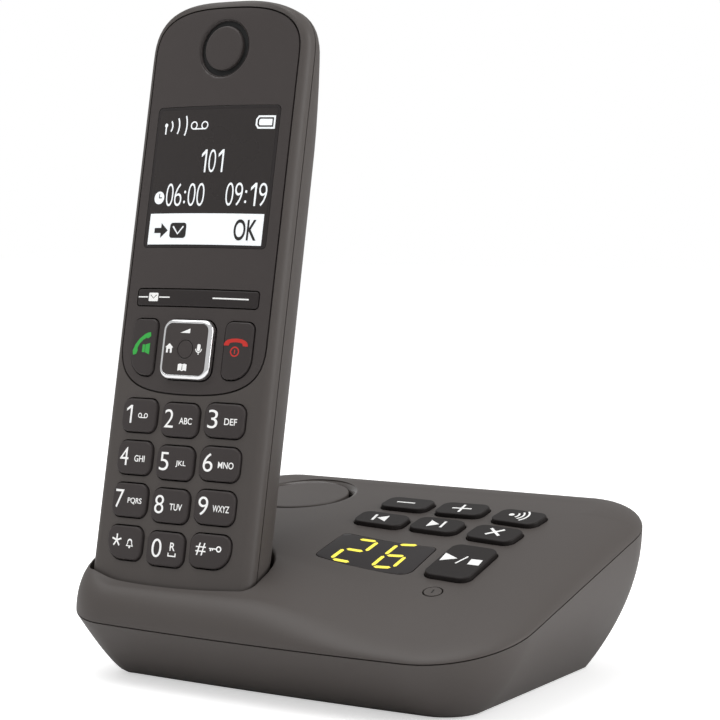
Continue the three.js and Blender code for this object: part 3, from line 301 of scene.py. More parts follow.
def rounded(width, height, radii, steps=8, spans=6):
    """A rectangle's outline with four corner radii, from the lower left corner anticlockwise. Its
    straight sides are split into spans, so that they can bend with a curved surface."""
    radii = [radii] * 4 if np.isscalar(radii) else radii
    arcs = []
    for k, ((side_x, side_y), r) in enumerate(zip(quarters, radii)):
        angle = np.linspace(0, math.pi / 2, steps + 1) + (k + 2) * math.pi / 2
        x, y = side_x * (width / 2 - r), side_y * (height / 2 - r)
        arcs.append(np.stack([x + r * np.cos(angle), y + r * np.sin(angle)], 1))
    points = []
    for k, corner in enumerate(arcs):
        points += [corner, np.linspace(corner[-1], arcs[(k + 1) % 4][0], spans + 1)[1:-1]]
    return np.concatenate(points)


def rectangle_at(width, height, corners, steps=8):
    """A rounded rectangle's outline as a function of its inset."""
    return lambda inset: rounded(
        width - 2 * inset, height - 2 * inset, np.subtract(corners, inset), steps)


def circle_at(radius, sides=48):
    return lambda inset: circle(radius - inset, sides)


print("a key's outline has", len(rounded(12, 8, 2)), "points")

# %% Mesh objects and cutting
def added(name, data):
    piece = bpy.data.objects.new(name, data)
    bpy.context.scene.collection.objects.link(piece)
    return piece


def solid(name, shape):
    vertices, faces = shape
    mesh = bpy.data.meshes.new(name)
    mesh.from_pydata((np.asarray(vertices) * MM).tolist(), [], [list(f) for f in faces])
    work = bmesh.new()
    work.from_mesh(mesh)
    bmesh.ops.recalc_face_normals(work, faces=work.faces)
    work.to_mesh(mesh)
    work.free()
    return added(name, mesh)


def settle(piece):
    """Applies the modifiers of a piece to its mesh."""
    bpy.context.view_layer.update()
    evaluated = piece.evaluated_get(bpy.context.evaluated_depsgraph_get())
    mesh = bpy.data.meshes.new_from_object(evaluated)
    piece.modifiers.clear()
    piece.data = mesh
    return piece


def combine(piece, operation, *others):
    for other in others:
        modifier = piece.modifiers.new("join", "BOOLEAN")
        modifier.operation = operation
        modifier.solver = "MANIFOLD"
        modifier.object = other
    settle(piece)
    for other in others:
        bpy.data.objects.remove(other)
    return piece


def cut(piece, *others):
    return combine(piece, "DIFFERENCE", *others)


def lofted(name, rings, matrix, endless=False):
    vertices, faces = loft(rings, endless)
    return solid(name, (moved(vertices, matrix), faces))


def outside(name, drop=0.0, grow=0.0):
    """The handset's whole outside, moved back from the face by drop and grown all round."""
    return lofted(name, [ring + [0, drop, 0] for ring in handset_rings(grow)], handset_matrix)


def handset_block(name, *sizes):
    return solid(name, on_handset(block(*sizes)))


shell_angle, key_angle, small_angle, flat_angle = 34, 50, 40, 32


def smooth_faces(piece, degrees=flat_angle):
    """Shades a piece smooth, apart from edges that are sharper than the angle."""
    mesh = piece.data
    mesh.polygons.foreach_set("use_smooth", [True] * len(mesh.polygons))
    mesh.set_sharp_from_angle(angle=math.radians(degrees))
    piece.modifiers.new("weighted", "WEIGHTED_NORMAL").keep_sharp = True
    return settle(piece)


def paint(piece, material):
    piece.data.materials.clear()
    piece.data.materials.append(material)


def dress(piece, body, slot, material, *nodes):
    paint(piece, material)
    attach(piece, body)
    if nodes:
        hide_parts(*nodes)
    return piece


print("Boolean solver ready")

# %% [markdown]
# ## Shader maths as Python
# A material's nodes read better as expressions. `Wire` wraps one output socket, and adding or
# multiplying wires adds Math nodes. Every other node comes from one method, which takes the node's
# type, what goes into its sockets and its settings.

# %% The wire class
class Wire:
    def __init__(self, tree, socket=None):
        self.tree = tree
        self.socket = socket

    def node(self, kind, inputs=None, output=0, **settings):
        made = self.tree.nodes.new(kind)
        for key, value in settings.items():
            setattr(made, key, value)
        for key, value in (inputs or {}).items():
            if isinstance(value, Wire):
                self.tree.links.new(value.socket, made.inputs[key])
            else:
                made.inputs[key].default_value = value
        return Wire(self.tree, made.outputs[output])

    def show(self, kind):
        """Joins the wire to the surface socket of a new output node."""
        self.tree.links.new(self.socket, self.tree.nodes.new(kind).inputs["Surface"])

    def math(self, operation, *values):
        return self.node("ShaderNodeMath", dict(enumerate(values)), operation=operation)

    def noise(self, scale, detail):
        """Noise in the object's own coordinates, with scale in cycles per metre."""
        place = self.node("ShaderNodeTexCoord", output=3)
        return self.node("ShaderNodeTexNoise", {"Vector": place, "Scale": float(scale), "Detail": detail})

    def mixed(self, dark, light):
        """Runs from one colour to the other as the wire runs from 0 to 1."""
        return self.node("ShaderNodeMix", {0: self, 6: dark, 7: light}, 2, data_type="RGBA")

    def __add__(self, other):
        return self.math("ADD", self, other)

    def __mul__(self, other):
        return self.math("MULTIPLY", self, other)

    def __sub__(self, other):
        return self.math("SUBTRACT", self, other)

    def __rsub__(self, other):
        return self.math("SUBTRACT", other, self)

    __radd__ = __add__
    __rmul__ = __mul__


def new_sheet(owner):
    """Clears the nodes of a material or a world, and returns the wire that new ones start from."""
    owner.use_nodes = True
    owner.node_tree.nodes.clear()
    return Wire(owner.node_tree)


def new_material(name):
    material = bpy.data.materials.new(name)
    return material, new_sheet(material)


def finish_material(material, sheet, **sockets):
    """Adds the Principled shader. Its sockets are named with underscores for spaces."""
    inputs = {key.replace("_", " "): value for key, value in sockets.items()}
    sheet.node("ShaderNodeBsdfPrincipled", inputs).show("ShaderNodeOutputMaterial")
    return material


def shade(colour, share=1.0):
    return [c * share for c in colour] + [1]


print("wires ready")

# %% [markdown]
# ## Moulded plastic
# The shells are injection moulded and then spark eroded: a fine even grain, a hair of colour
# variation where the melt cooled unevenly, and gloss that changes slightly from spot to spot. Noise
# in the object's own coordinates gives all three, with the grain as a bump of a few micrometres.

# %% Plastic finishes
cycles = Sizes(mottle=55, film=90, scratch=700, ink=1500)


def moulded(name, colour, roughness, grain=0.35, depth=0.006, mottle=0.05, worn=0.06, shine=0.25,
            polished=None):
    """grain and depth are in millimetres, mottle and worn are shares of colour and gloss. A low
    shine keeps the dark plastics from greying under a white room. polished is a smooth ring's middle
    in x and y, its radius and its half width."""
    material, sheet = new_material(name)
    fine, broad = sheet.noise(1 / (grain * MM), 2.0), sheet.noise(cycles.mottle, 3.0)
    tone = (broad * 0.7 + fine * 0.3).mixed(shade(colour, 1 - mottle), shade(colour, 1 + mottle))
    gloss = broad * worn + (roughness - worn / 2)
    if polished:
        x, y, radius, half = polished
        place = sheet.node("ShaderNodeTexCoord", output=3)
        flat = sheet.node("ShaderNodeVectorMath", {0: place, 1: (1, 1, 0)}, operation="MULTIPLY")
        centre = (x * MM, y * MM, 0)
        reach = sheet.node("ShaderNodeVectorMath", {0: flat, 1: centre}, 1, operation="DISTANCE")
        gloss = gloss * (1 - reach.math("COMPARE", reach, radius * MM, half * MM) * 0.75)
    bump = sheet.node("ShaderNodeBump", {"Strength": 0.6, "Distance": depth * MM, "Height": fine})
    return finish_material(material, sheet, Base_Color=tone, Roughness=gloss, Normal=bump,
                           Specular_IOR_Level=shine)


housing_look = dict(colour=(0.0765, 0.0665, 0.0615), roughness=0.5, shine=0.36)
housing_plastic = moulded("housing_plastic", **housing_look)
plate_plastic = moulded("plate_plastic", (0.060, 0.0515, 0.0495), 0.42, grain=0.3, depth=0.004)
call_key_plastic = moulded("call_key_plastic", (0.047, 0.040, 0.039), 0.42, grain=0.3, depth=0.004)
rocker_plastic = moulded("rocker_plastic", (0.031, 0.026, 0.0255), 0.36, grain=0.3, depth=0.003)
handset_key_plastic = moulded("handset_key_plastic", (0.049, 0.0415, 0.0405), 0.52, grain=0.28)
base_key_plastic = moulded("base_key_plastic", (0.0178, 0.0148, 0.0142), 0.5, grain=0.28, shine=0.2)
black_plastic = moulded("black_plastic", (0.012, 0.012, 0.012), 0.5)
rubber = moulded("rubber", (0.013, 0.013, 0.013), 0.8, grain=0.5, depth=0.02)
print("plastics", len(bpy.data.materials))

# %% Window plastic, print, light and metal
def tinted(name, colour, roughness):
    material, sheet = new_material(name)
    gloss = sheet.noise(cycles.film, 4.0) * 0.08 + (roughness - 0.04)
    return finish_material(material, sheet, Base_Color=shade(colour), Roughness=gloss,
                           Specular_IOR_Level=0.25)


# glow makes a mark give off light: real for the lit counter and display, painted brightness on printed ink.
def printed(name, colour, glow=0.0):
    material, sheet = new_material(name)
    ink = sheet.noise(cycles.ink, 2.0).mixed(shade(colour, 0.93), shade(colour))
    return finish_material(material, sheet, Base_Color=ink, Roughness=0.45, Emission_Color=ink,
                           Emission_Strength=glow)


def metal(name, colour, roughness, scratch=0.05):
    material, sheet = new_material(name)
    gloss = sheet.noise(cycles.scratch, 3.0) * scratch + (roughness - scratch / 2)
    return finish_material(material, sheet, Base_Color=shade(colour), Metallic=1.0, Roughness=gloss)


led_window_plastic = tinted("led_window_plastic", (0.0155, 0.0115, 0.012), 0.3)
display_plastic = tinted("display_plastic", (0.030, 0.026, 0.026), 0.25)
lcd_dark = tinted("lcd_dark", (0.036, 0.031, 0.030), 0.28)
# The white, green and red print gets a faint glow: painted brightness, since printed ink gives off no light.
white_print = printed("white_print", (0.82, 0.82, 0.81), 0.3)
lcd_white = printed("lcd_white", (0.85, 0.88, 0.90), 0.35)
lcd_black = printed("lcd_black", (0.014, 0.012, 0.012))
green_print = printed("green_print", (0.035, 0.42, 0.06), 0.1)
red_print = printed("red_print", (0.56, 0.022, 0.014), 0.1)
led_yellow = printed("led_yellow", (0.86, 0.74, 0.07), 0.65)
chrome = metal("chrome", (0.95, 0.95, 0.96), 0.07, 0.02)
steel = metal("steel", (0.42, 0.42, 0.43), 0.32, 0.12)
gold = metal("gold", (0.62, 0.43, 0.14), 0.25)
board_green = moulded("board_green", (0.012, 0.09, 0.04), 0.35, grain=0.8, depth=0.02)
battery_sleeve = moulded("battery_sleeve", (0.05, 0.16, 0.07), 0.3, grain=0.6)
print("materials", len(bpy.data.materials))

# %% [markdown]
# ## Camera, light and table
# The picture was taken from the right and a little above with a long lens, so the camera is placed by
# its measured position and direction. The light is plain: a bright even surround, one large soft
# panel high on the left, and a lower one on the right that runs a highlight down the handset's side.
# The table adds a glow of its own to what the camera sees directly, so it is white where the light is
# full and keeps the soft shadow under the base.

# %% Camera
camera_place = (270.05, -435.95, 115.5)
camera_yaw = math.radians(31.82)
camera_pitch = math.radians(4.254)
focal_pixels = 2085.2
frame_pixels = 720
sensor = 36
camera_data = bpy.data.cameras.new("camera")
camera_data.sensor_width = sensor
camera_data.lens = focal_pixels / frame_pixels * sensor
camera = added("camera", camera_data)
camera.matrix_world = (Matrix.Translation([c * MM for c in camera_place])
                       @ Matrix.Rotation(camera_yaw, 4, "Z")
                       @ Matrix.Rotation(math.pi / 2 - camera_pitch, 4, "X"))
bpy.context.scene.camera = camera
bpy.context.scene.view_settings.view_transform = "Standard"
print("lens", round(camera_data.lens, 1), "mm")

# %% Lamps, surround and table
def panel(name, place, target, width, height, power):
    data = bpy.data.lights.new(name, "AREA")
    data.shape = "RECTANGLE"
    data.size, data.size_y = width, height
    data.energy = power
    turn = (Vector(target) - Vector(place)).to_track_quat("-Z", "Y")
    added(name, data).matrix_world = Matrix.Translation(place) @ turn.to_matrix().to_4x4()


panel("panel_top", (-0.25, -0.15, 0.95), (0, 0, 0.05), 0.8, 0.8, 5.2)
panel("panel_right", (0.9, 0.2, 0.42), (0, 0, 0.13), 0.35, 0.8, 4.6)


def direct_rays(sheet):
    """1 for a ray that shows a surface straight or through glass, else 0."""
    path = sheet.node("ShaderNodeLightPath").socket.node
    rays = [Wire(sheet.tree, path.outputs["Is %s Ray" % kind]) for kind in ("Camera", "Transmission")]
    return sheet.math("MAXIMUM", *rays)


ambient = 0.55
white, black = shade((1, 1, 1)), shade((0, 0, 0))
world = bpy.data.worlds.new("surround")
bpy.context.scene.world = world
sky = new_sheet(world)
sky_level = direct_rays(sky) * (1 - ambient) + ambient
surround = sky.node("ShaderNodeBackground", {"Color": white, "Strength": sky_level})
surround.show("ShaderNodeOutputWorld")

table_half = 3
table_mesh = bpy.data.meshes.new("table")
table_mesh.from_pydata([(x * table_half, y * table_half, 0) for x, y in quarters], [], [(0, 1, 2, 3)])
table = added("table", table_mesh)
table_white, table_sheet = new_material("table_white")
table_glow = 0.5
glow_colour = (direct_rays(table_sheet) * table_glow).mixed(black, white)
finish_material(table_white, table_sheet, Base_Color=shade((0.93, 0.93, 0.93)), Roughness=0.9,
                Specular_IOR_Level=0.1, Emission_Color=glow_colour, Emission_Strength=1.0)
paint(table, table_white)
print("lamps 2")

# %% [markdown]
# ## Places on the two faces
# A key on the sloping deck needs a frame that lies on the surface: the slope in x and y gives the
# normal, and a turn about it sets the key straight to its neighbours. On the handset the frame only
# rolls with the crown. Marks use the same frames, so they never float.

# %% Frames on the deck and on the handset's face
probe = 0.5


def unit(vector):
    return vector / np.linalg.norm(vector)


def deck_frame(x, y, turn=0.0):
    slope_x = float(top_z(x + probe, y) - top_z(x - probe, y)) / (2 * probe)
    slope_y = float(top_z(x, y + probe) - top_z(x, y - probe)) / (2 * probe)
    normal, across = unit(np.array([-slope_x, -slope_y, 1.0])), unit(np.array([1.0, 0, slope_x]))
    matrix = Matrix(np.column_stack([across, np.cross(normal, across), normal]).tolist()).to_4x4()
    matrix.translation = (x, y, float(top_z(x, y)))
    return matrix @ Matrix.Rotation(turn, 4, "Z")


def face_frame(x, z):
    """Local x across, local y up the handset, local z out of the face."""
    roll = math.asin(x / handset.crown_radius)
    return (handset_matrix @ Matrix.Translation((x, float(crown_at(x)), z)) @ Matrix.Rotation(roll, 4, "Z")
            @ Matrix.Rotation(math.pi / 2, 4, "X"))


def capped(name, outline_at, profile, matrix, endless=False):
    """A loft of an outline over a profile of (inset, height) pairs, placed by a matrix."""
    rings = [at_height(outline_at(inset), height) for inset, height in profile]
    return lofted(name, rings, matrix, endless)


def fillet(inset, height, radius, steps=5):
    """Profile points of a quarter round that ends at a flat top."""
    angles = np.linspace(0, math.pi / 2, steps + 1)
    return [(inset + radius * (1 - math.cos(a)), height - radius + radius * math.sin(a)) for a in angles]


print("key slope", [round(v, 3) for v in deck_frame(16.4, 9.6).col[2][:3]])

# %% [markdown]
# ## The base's upper housing
# The real lid is one moulding: a thin skin, a deep pocket for the handset and a hole for every key.
# It could be sculpted, but here it is the dome's formula minus exact cutters. The pocket's cutter
# widens in a quarter round just under the surface, which leaves the soft rim that catches the light.

# %% The pocket's cutter
def pocket_cutter(steps=6, rise=9.0, margin=0.4, lift=0.25, wall_top=60, halvings=30):
    """Rings of the grown handset below the surface, then a flare that rounds the rim. Above the
    surface the cutter widens by margin and lift, and goes straight up by rise."""
    grow = cradle.clearance
    rings = [moved(ring, handset_matrix) for ring in handset_rings(grow)[:len(corner_shares)]]
    heights = (handset.corner_bottom, wall_top)
    start, end = (moved(handset_section(z, grow=grow), handset_matrix) for z in heights)
    along = np.roll(start, -1, 0)[:, :2] - np.roll(start, 1, 0)[:, :2]
    normal = np.stack([along[:, 1], -along[:, 0]], 1)
    normal /= np.linalg.norm(normal, axis=1)[:, None]

    def at_depth(depth):
        """The place of each line up the pocket's wall that lies at depth under the surface."""
        below, above = np.zeros(len(start)), np.ones(len(start))
        for _ in range(halvings):
            half = (below + above) / 2
            p = start + (end - start) * half[:, None]
            under = p[:, 2] < top_z(p[:, 0], p[:, 1]) - depth
            below, above = np.where(under, half, below), np.where(under, above, half)
        return start + (end - start) * below[:, None]

    for angle in np.linspace(0, math.pi / 2, steps + 1):
        flare = normal * cradle.rim * (1 - math.cos(angle))
        rings.append(at_depth(cradle.rim * (1 - math.sin(angle))) + at_height(flare, 0))
    rings[-1] = on_top(rings[-1][:, :2])
    wide = rings[-1] + at_height(normal * margin, lift)
    return loft(rings + [wide, wide + [0, 0, rise]])


print("pocket ring points", len(handset_section(50)))

# %% Keys, window, speaker and on-off button of the deck
base_key = Sizes(width=13.2, height=8.35, corner=2.6, rise=1.1, edge=0.35, sink=2.8, flare=0.18,
                 play_width=12.3, play_height=17.3, on_off_radius=2.2, on_off_rise=0.05)
key_gap = 0.25
deck_keys = {
    "volume_down_key": (-0.28, 23.25, 2.3), "volume_up_key": (15.56, 23.59, 3.2),
    "paging_key": (32.51, 22.03, -4.9), "previous_key": (-0.02, 9.93, 6.5), "next_key": (15.03, 11.75, 0.4),
    "delete_key": (31.69, 10.7, -3.2), "play_stop_key": (31.6, -6, 0.6), "on_off_key": (31.76, -19.88, 0.6)}
window = Sizes(x=9.15, y=-8, width=25.4, height=16.2, corners=(1.6, 2.8, 1.6, 1.6), turn=math.radians(5),
               thickness=1.4, edge=0.06)
window_frame = deck_frame(window.x, window.y, window.turn)
window_at = rectangle_at(window.width, window.height, window.corners)
disc = Sizes(x=-34.4, y=25.2, radius=12.6, thickness=2.2, gap=0.7, bevel=1.6, over=0.05)
disc_frame = deck_frame(disc.x, disc.y)
disc_round = [(0, 0.8), (0.2, 0.42), (0.55, 0.14)]
cradle_contact = Sizes(x=9, width=2.2, y=(9, 13), z=(-8, 3))
charge_contact = Sizes(x=9, width=3, y=(8, 14), z=(-overrun, 4))


def deck_key_outline(name):
    if name == "on_off_key":
        return circle_at(base_key.on_off_radius, 40)
    play = name == "play_stop_key"
    width = base_key.play_width if play else base_key.width
    return rectangle_at(width, base_key.play_height if play else base_key.height, base_key.corner)


def deck_key_frame(name):
    x, y, turn = deck_keys[name]
    return deck_frame(x, y, math.radians(turn))


def flared(low, lip, far):
    """A cutter's profile: straight, then opening by lip at the surface, then wide above it."""
    return [(-key_gap, low), (-key_gap, -lip), (-key_gap - lip * 0.3, -lip * 0.3), (-key_gap - lip, 0.0),
            (-key_gap - lip * 2, lip), (-key_gap - lip * 2, far)]


def contact_slots(slot):
    """Cutters for the two charging contacts."""
    half_width, y = slot.width / 2 + gap, (slot.y[0] - gap, slot.y[1] + gap)
    return [handset_block("slot", side * slot.x, half_width, y, slot.z) for side in (-1, 1)]


def dress_shell(piece, node, body="base", slot="housing", material=housing_plastic):
    return dress(smooth_faces(piece, shell_angle), body, slot, material, node)


print("deck keys", len(deck_keys))

# %% Carve the upper housing
slot_middle = disc.radius + disc.gap + disc.bevel / 2
deck_plastic = moulded("deck_plastic", **housing_look, polished=(disc.x, disc.y, slot_middle, disc.bevel / 2))
upper = solid("upper_housing", loft(dome_rings(0, 0, base.seam_gap / 2)))
cut(upper, solid("inside", loft(dome_rings(base.wall, base.wall, -overrun, 5, 10))))
reach = solid("reach", loft(dome_rings(0, base.wall / 2, -base.seam_height + base.floor_height)))
well = outside("well", 0, cradle.clearance + cradle.wall)
combine(upper, "UNION", combine(well, "INTERSECT", reach))

deep, edge, bevel = -base.wall * 2, window.edge, disc.bevel
key_profile = flared(deep, base_key.flare, base.wall)
window_profile = [(-edge, deep), (-edge, -edge), (-edge * 2, 0.0), (-edge * 3, edge), (-edge * 3, base.wall)]
disc_profile = [(0, deep), *[(-bevel * out, -bevel * down) for out, down in disc_round],
                (-bevel, disc.over), (-bevel, base.wall)]
key_holes = [capped(name + "_hole", deck_key_outline(name), key_profile, deck_key_frame(name))
             for name in deck_keys]
cut(upper, solid("pocket", pocket_cutter()), *key_holes,
    capped("window_hole", window_at, window_profile, window_frame),
    capped("disc_hole", circle_at(disc.radius + disc.gap, 96), disc_profile, disc_frame))
cut(upper, *contact_slots(cradle_contact))
dress_shell(upper, "base_upper_housing", material=deck_plastic)
print("upper housing faces", len(upper.data.polygons))

# %% [markdown]
# ## The base's lower housing
# Under the seam the bowl is flat and tapering at the front, steep and full at the back. The recess at
# the back gives room for two plugs. Feet and screws sit in round pockets, which the cutters leave.

# %% Carve the lower housing
foot = Sizes(radius=4.5, thickness=2, inset=7.5, edge=0.5)
screw = Sizes(head=2.6, shaft=1.3, recess=1.2, head_height=2, boss=4.2)
screw_places = [(13, -28), (28, 30.9), (-13, 5)]
recess = Sizes(x=1, width=38, height=17, bottom=5.5, depth=21, wall=1.8)
jack = Sizes(width=13, height=11.5, depth=14, pitch=18)
recess_front = base.depth / 2 - recess.depth
jack_low = recess.bottom + recess.height / 2 - jack.height / 2 - gap
foot_places = [(x * (base.width / 2 - base.foot_inset - foot.inset),
                y * (base.depth / 2 - base.foot_inset - foot.inset)) for x, y in quarters]
below = -1
head_top = base.floor_height + screw.recess + screw.head_height
boss_top = head_top + base.wall


def cylinder(name, radius, bottom, top, place):
    return solid(name, loft([at_height(circle(radius) + place, z) for z in (bottom, top)]))


def recess_block(name, extra):
    return solid(name, block(recess.x, recess.width / 2 + extra, (recess_front - extra, base.depth),
                             (recess.bottom - extra, recess.bottom + recess.height + extra)))


bowl_shape = loft(bowl_rings(0, 0, 0))
lower = solid("lower_housing", bowl_shape)
cut(lower, solid("cavity", loft(bowl_rings(base.wall, base.wall, overrun, 8))))
combine(lower, "UNION", combine(recess_block("alcove", recess.wall), "INTERSECT", solid("whole", bowl_shape)))
for place in screw_places:
    combine(lower, "UNION", cylinder("boss", screw.boss, base.floor_height + 1, boss_top, place))
cutters = [recess_block("recess", 0), outside("relief", 0, cradle.clearance + cradle.wall + 0.4)]
for side in (-1, 1):
    cutters.append(solid("jack", block(
        recess.x + side * jack.pitch / 2, jack.width / 2 + gap,
        (recess_front - jack.depth, recess_front + overrun), (jack_low, jack_low + jack.height + 2 * gap))))
for place in screw_places:
    cutters.append(cylinder("head", screw.head + gap, below, head_top + gap, place))
    cutters.append(cylinder("shaft", screw.shaft + gap, below, boss_top + overrun, place))
for place in foot_places:
    cutters.append(cylinder("foot", foot.radius + gap, below, foot.thickness + gap, place))
cut(lower, *cutters)
dress_shell(lower, "base_lower_housing")
print("lower housing faces", len(lower.data.polygons))

# %% [markdown]
# ## Window, speaker cover and feet
# The counter's window lies flush in the deck, so its top is the deck's own surface with a hair of
# bevel round it. The speaker cover is a disc that floats in a dark ring.

# %% Window and speaker cover
def deck_points(matrix, points):
    """Where flat points lie in plan, once a frame of the deck has placed them."""
    return moved(at_height(points, 0), matrix)[:, :2]


def flush_piece(name, matrix, outline_at, thickness, bevel, sink=0.0):
    """A skin on the deck whose upper edge is chamfered by bevel."""
    def level(inset, drop):
        return on_top(deck_points(matrix, outline_at(inset)), -drop)

    rings = [level(0, thickness), level(0, sink + bevel), level(bevel * 0.3, sink + bevel * 0.3),
             level(bevel, sink)]
    centre, full = deck_points(matrix, np.zeros((1, 2))), deck_points(matrix, outline_at(bevel))
    rings += [on_top(centre + (full - centre) * share, -sink) for share in np.linspace(1, 0, 14)[1:-1]]
    return smooth_faces(solid(name, loft(rings)))


dress(flush_piece("counter_window", window_frame, window_at, window.thickness, 0.08),
      "base", "led_window", led_window_plastic, "led_window")
dress(flush_piece("speaker_disc", disc_frame, circle_at(disc.radius, 96), disc.thickness, 0.4, 0.12),
      "base", "housing", housing_plastic, "speaker_cover")
print("window and disc made")

# %% Rubber feet with a turned edge
foot_profile = [(0, 0.0)] + fillet(0, foot.thickness, foot.edge)
for number, (x, y) in enumerate(foot_places, 1):
    upside_down = Matrix.Translation((x, y, foot.thickness)) @ Matrix.Rotation(math.pi, 4, "X")
    pad = capped("rubber_foot_%d" % number, circle_at(foot.radius), foot_profile, upside_down)
    dress(smooth_faces(pad), "base", "rubber", rubber, "base_foot_%d" % number)
print("feet 4")

# %% [markdown]
# ## Keys of the deck
# Each key is a low block with round corners: it stands straight out of its hole, and its upper edge
# is rounded off. The on-off button is flush, and only the ring-shaped gap round it shows.

# %% Deck keys
for name in deck_keys:
    on_off = name == "on_off_key"
    top = fillet(0.05, base_key.on_off_rise, 0.15) if on_off else fillet(0, base_key.rise, base_key.edge)
    key = capped("deck_" + name, deck_key_outline(name), [(0, -base_key.sink)] + top, deck_key_frame(name))
    slot, material = ("housing", housing_plastic) if on_off else ("base_key", base_key_plastic)
    dress(smooth_faces(key, key_angle), name, slot, material, name)
print("deck keys made")

# %% [markdown]
# ## The handset's shells
# One closed loft gives the handset's whole outside. A thin slab taken out of it along the seam splits
# it into a front and a rear shell, and the face plate, the window and the keys are cut into the
# front. The plate is the same outside again, kept only inside the plate's outline.

# %% Outlines on the handset's face
keypad = Sizes(pitch_x=12.73, pitch_z=10.43, first_row=16.24, row_bow=0.56, width=11.1, height=8.2,
               corner=2.4, corner_large=4.6, rise=0.7, sink=2.6, flare=0.24)
plate = Sizes(margin=2.3, arch_margin=2, handle=2, handle_share=0.62, thickness=1.2, groove=0.4,
              bottom=53.9, shoulder=66)
screen = Sizes(width=36.8, height=35.4, centre_z=107.7, corner=1.2, thickness=1.3, play=0.16)
rocker = Sizes(width=36.3, height=4.2, centre_z=77.5, rise=0.1, sink=2.6, corner=0.8)
nav = Sizes(width=14.8, height=14.8, corner=2.9, ring=1.1, centre_z=64.7, rise=1.7, proud=0.05, sink=2.6,
            centre_radius=2.2)
call_key = Sizes(x=14.1, z=65, width=7.8, height=14, corner=1.8, corner_large=5.2, rise=0.5)
ear = Sizes(centre_z=140, radius=7.2, thickness=2, play=0.03)


def bezier(points, steps=16):
    p = [np.array(q, float) for q in points]
    t = np.linspace(0, 1, steps + 1)[:, None]
    return (1 - t) ** 3 * p[0] + 3 * (1 - t) ** 2 * t * p[1] + 3 * (1 - t) * t ** 2 * p[2] + t ** 3 * p[3]


def plate_outline(extra):
    half = handset.width / 2 - plate.margin + extra
    start = handset.length - handset.arch_height
    rise = handset.arch_height - plate.arch_margin + extra
    bottom = plate.bottom - extra
    right = [*bezier([(0, bottom), (half * plate.handle_share, bottom), (half, bottom + plate.handle),
                      (half, plate.shoulder)])]
    for angle in np.radians(np.linspace(0, 88, 34)):
        across, up = power_arc(angle, handset.arch_power)
        right.append((half * across, start + rise * up))
    return np.concatenate([right, np.array(right)[:0:-1] * [-1, 1]])


def face_prism(name, points, front=-8.0, back=8.0):
    """A straight cutter through the face, from front to back of the face plane."""
    return capped(name, lambda inset: points, [(0, -back), (0, -front)], face_frame(0, 0))


print("plate outline points", len(plate_outline(0)))

# %% Every key of the face
digit_rows = ["*0#", "789", "456", "123"]
digit_nodes = {"*": "key_star", "#": "key_hash", **{str(n): "key_%d" % n for n in range(10)}}


def face_key(node, label, x, z, size, corners):
    return Sizes(node=node, label=label, rise=size.rise, frame=face_frame(x, z),
                 outline_at=rectangle_at(size.width, size.height, corners))


def digit_keys():
    for row, names in enumerate(digit_rows):
        for column, label in enumerate(names, -1):
            corners = [keypad.corner] * 4
            if label in "*#":
                corners["*#".index(label)] = keypad.corner_large
            z = keypad.first_row + row * keypad.pitch_z + keypad.row_bow * column ** 2
            yield face_key(digit_nodes[label], label, column * keypad.pitch_x, z, keypad, corners)


def call_keys():
    r, large = call_key.corner, call_key.corner_large
    yield face_key("talk_key", "talk", -call_key.x, call_key.z, call_key, [large, r, r, r])
    yield face_key("end_key", "end", call_key.x, call_key.z, call_key, [r, large, r, r])


digit_face_keys, call_face_keys = list(digit_keys()), list(call_keys())
print("face keys", len(digit_face_keys + call_face_keys))

# %% Carve the front shell and the face plate
beyond = 60


def half_space(name, low_y, high_y):
    far = handset.length + handset.width
    return handset_block(name, 0, far, (low_y, high_y), (-far, 2 * far))


def grown_rectangle(size, grow, centre_z):
    return rounded(size.width + 2 * grow, size.height + 2 * grow, size.corner + grow) + [0, centre_z]


openings = [
    rounded(screen.width + screen.play, screen.height + screen.play, screen.corner) + [0, screen.centre_z],
    grown_rectangle(rocker, key_gap, rocker.centre_z), grown_rectangle(nav, key_gap, nav.centre_z),
    circle(ear.radius + ear.play, 80) + [0, ear.centre_z]]


def opened(piece, keys):
    """Cuts the holes that the plate and the shell under it share."""
    profile = flared(-8, keypad.flare, 8)
    holes = [capped(key.node + "_hole", key.outline_at, profile, key.frame) for key in keys]
    return cut(piece, *holes, *[face_prism("opening", points) for points in openings])


front = cut(outside("front_shell"), outside("hollow", handset.front_wall - handset.wall, -handset.wall))
combine(front, "INTERSECT", half_space("front_half", -beyond, handset.seam_depth - handset.seam_gap / 2))
plate_slot = face_prism("plate_slot", plate_outline(plate.groove))
cut(front, cut(plate_slot, outside("under_plate", plate.thickness + gap)))
opened(front, digit_face_keys + call_face_keys)
dress_shell(front, "handset_front_shell", "handset")

face_plate = cut(outside("face_plate"), outside("under_face", plate.thickness))
combine(face_plate, "INTERSECT", face_prism("plate_edge", plate_outline(0)))
opened(face_plate, call_face_keys)
dress_shell(face_plate, "handset_face_plate", "handset", "face_plate", plate_plastic)
print("front shell faces", len(front.data.polygons), "plate", len(face_plate.data.polygons))

# %% Rear shell and battery door
door = Sizes(width=31, height=56, centre_z=56, corner=4, thickness=1.6, gap=0.3, front=13)
cell = Sizes(radius=5.2, low=32, length=44.9, floor=8.1)
lip = Sizes(groove=0.7, thickness=0.8, slack=0.02, root=0.1)
rear_start = handset.seam_depth + handset.seam_gap / 2


def door_prism(name, grow):
    return face_prism(name, grown_rectangle(door, grow, door.centre_z), door.front, beyond)


def seam_lip():
    """The rear shell's flange, which fills the seam from a groove's depth inwards, so that no light
    shows through."""
    flange = outside("flange", 0, -lip.groove)
    cut(flange, outside("flange_inside", 0, -handset.wall - lip.thickness))
    front_end = rear_start - handset.seam_gap + lip.slack
    return combine(flange, "INTERSECT", half_space("band", front_end, rear_start + lip.root))


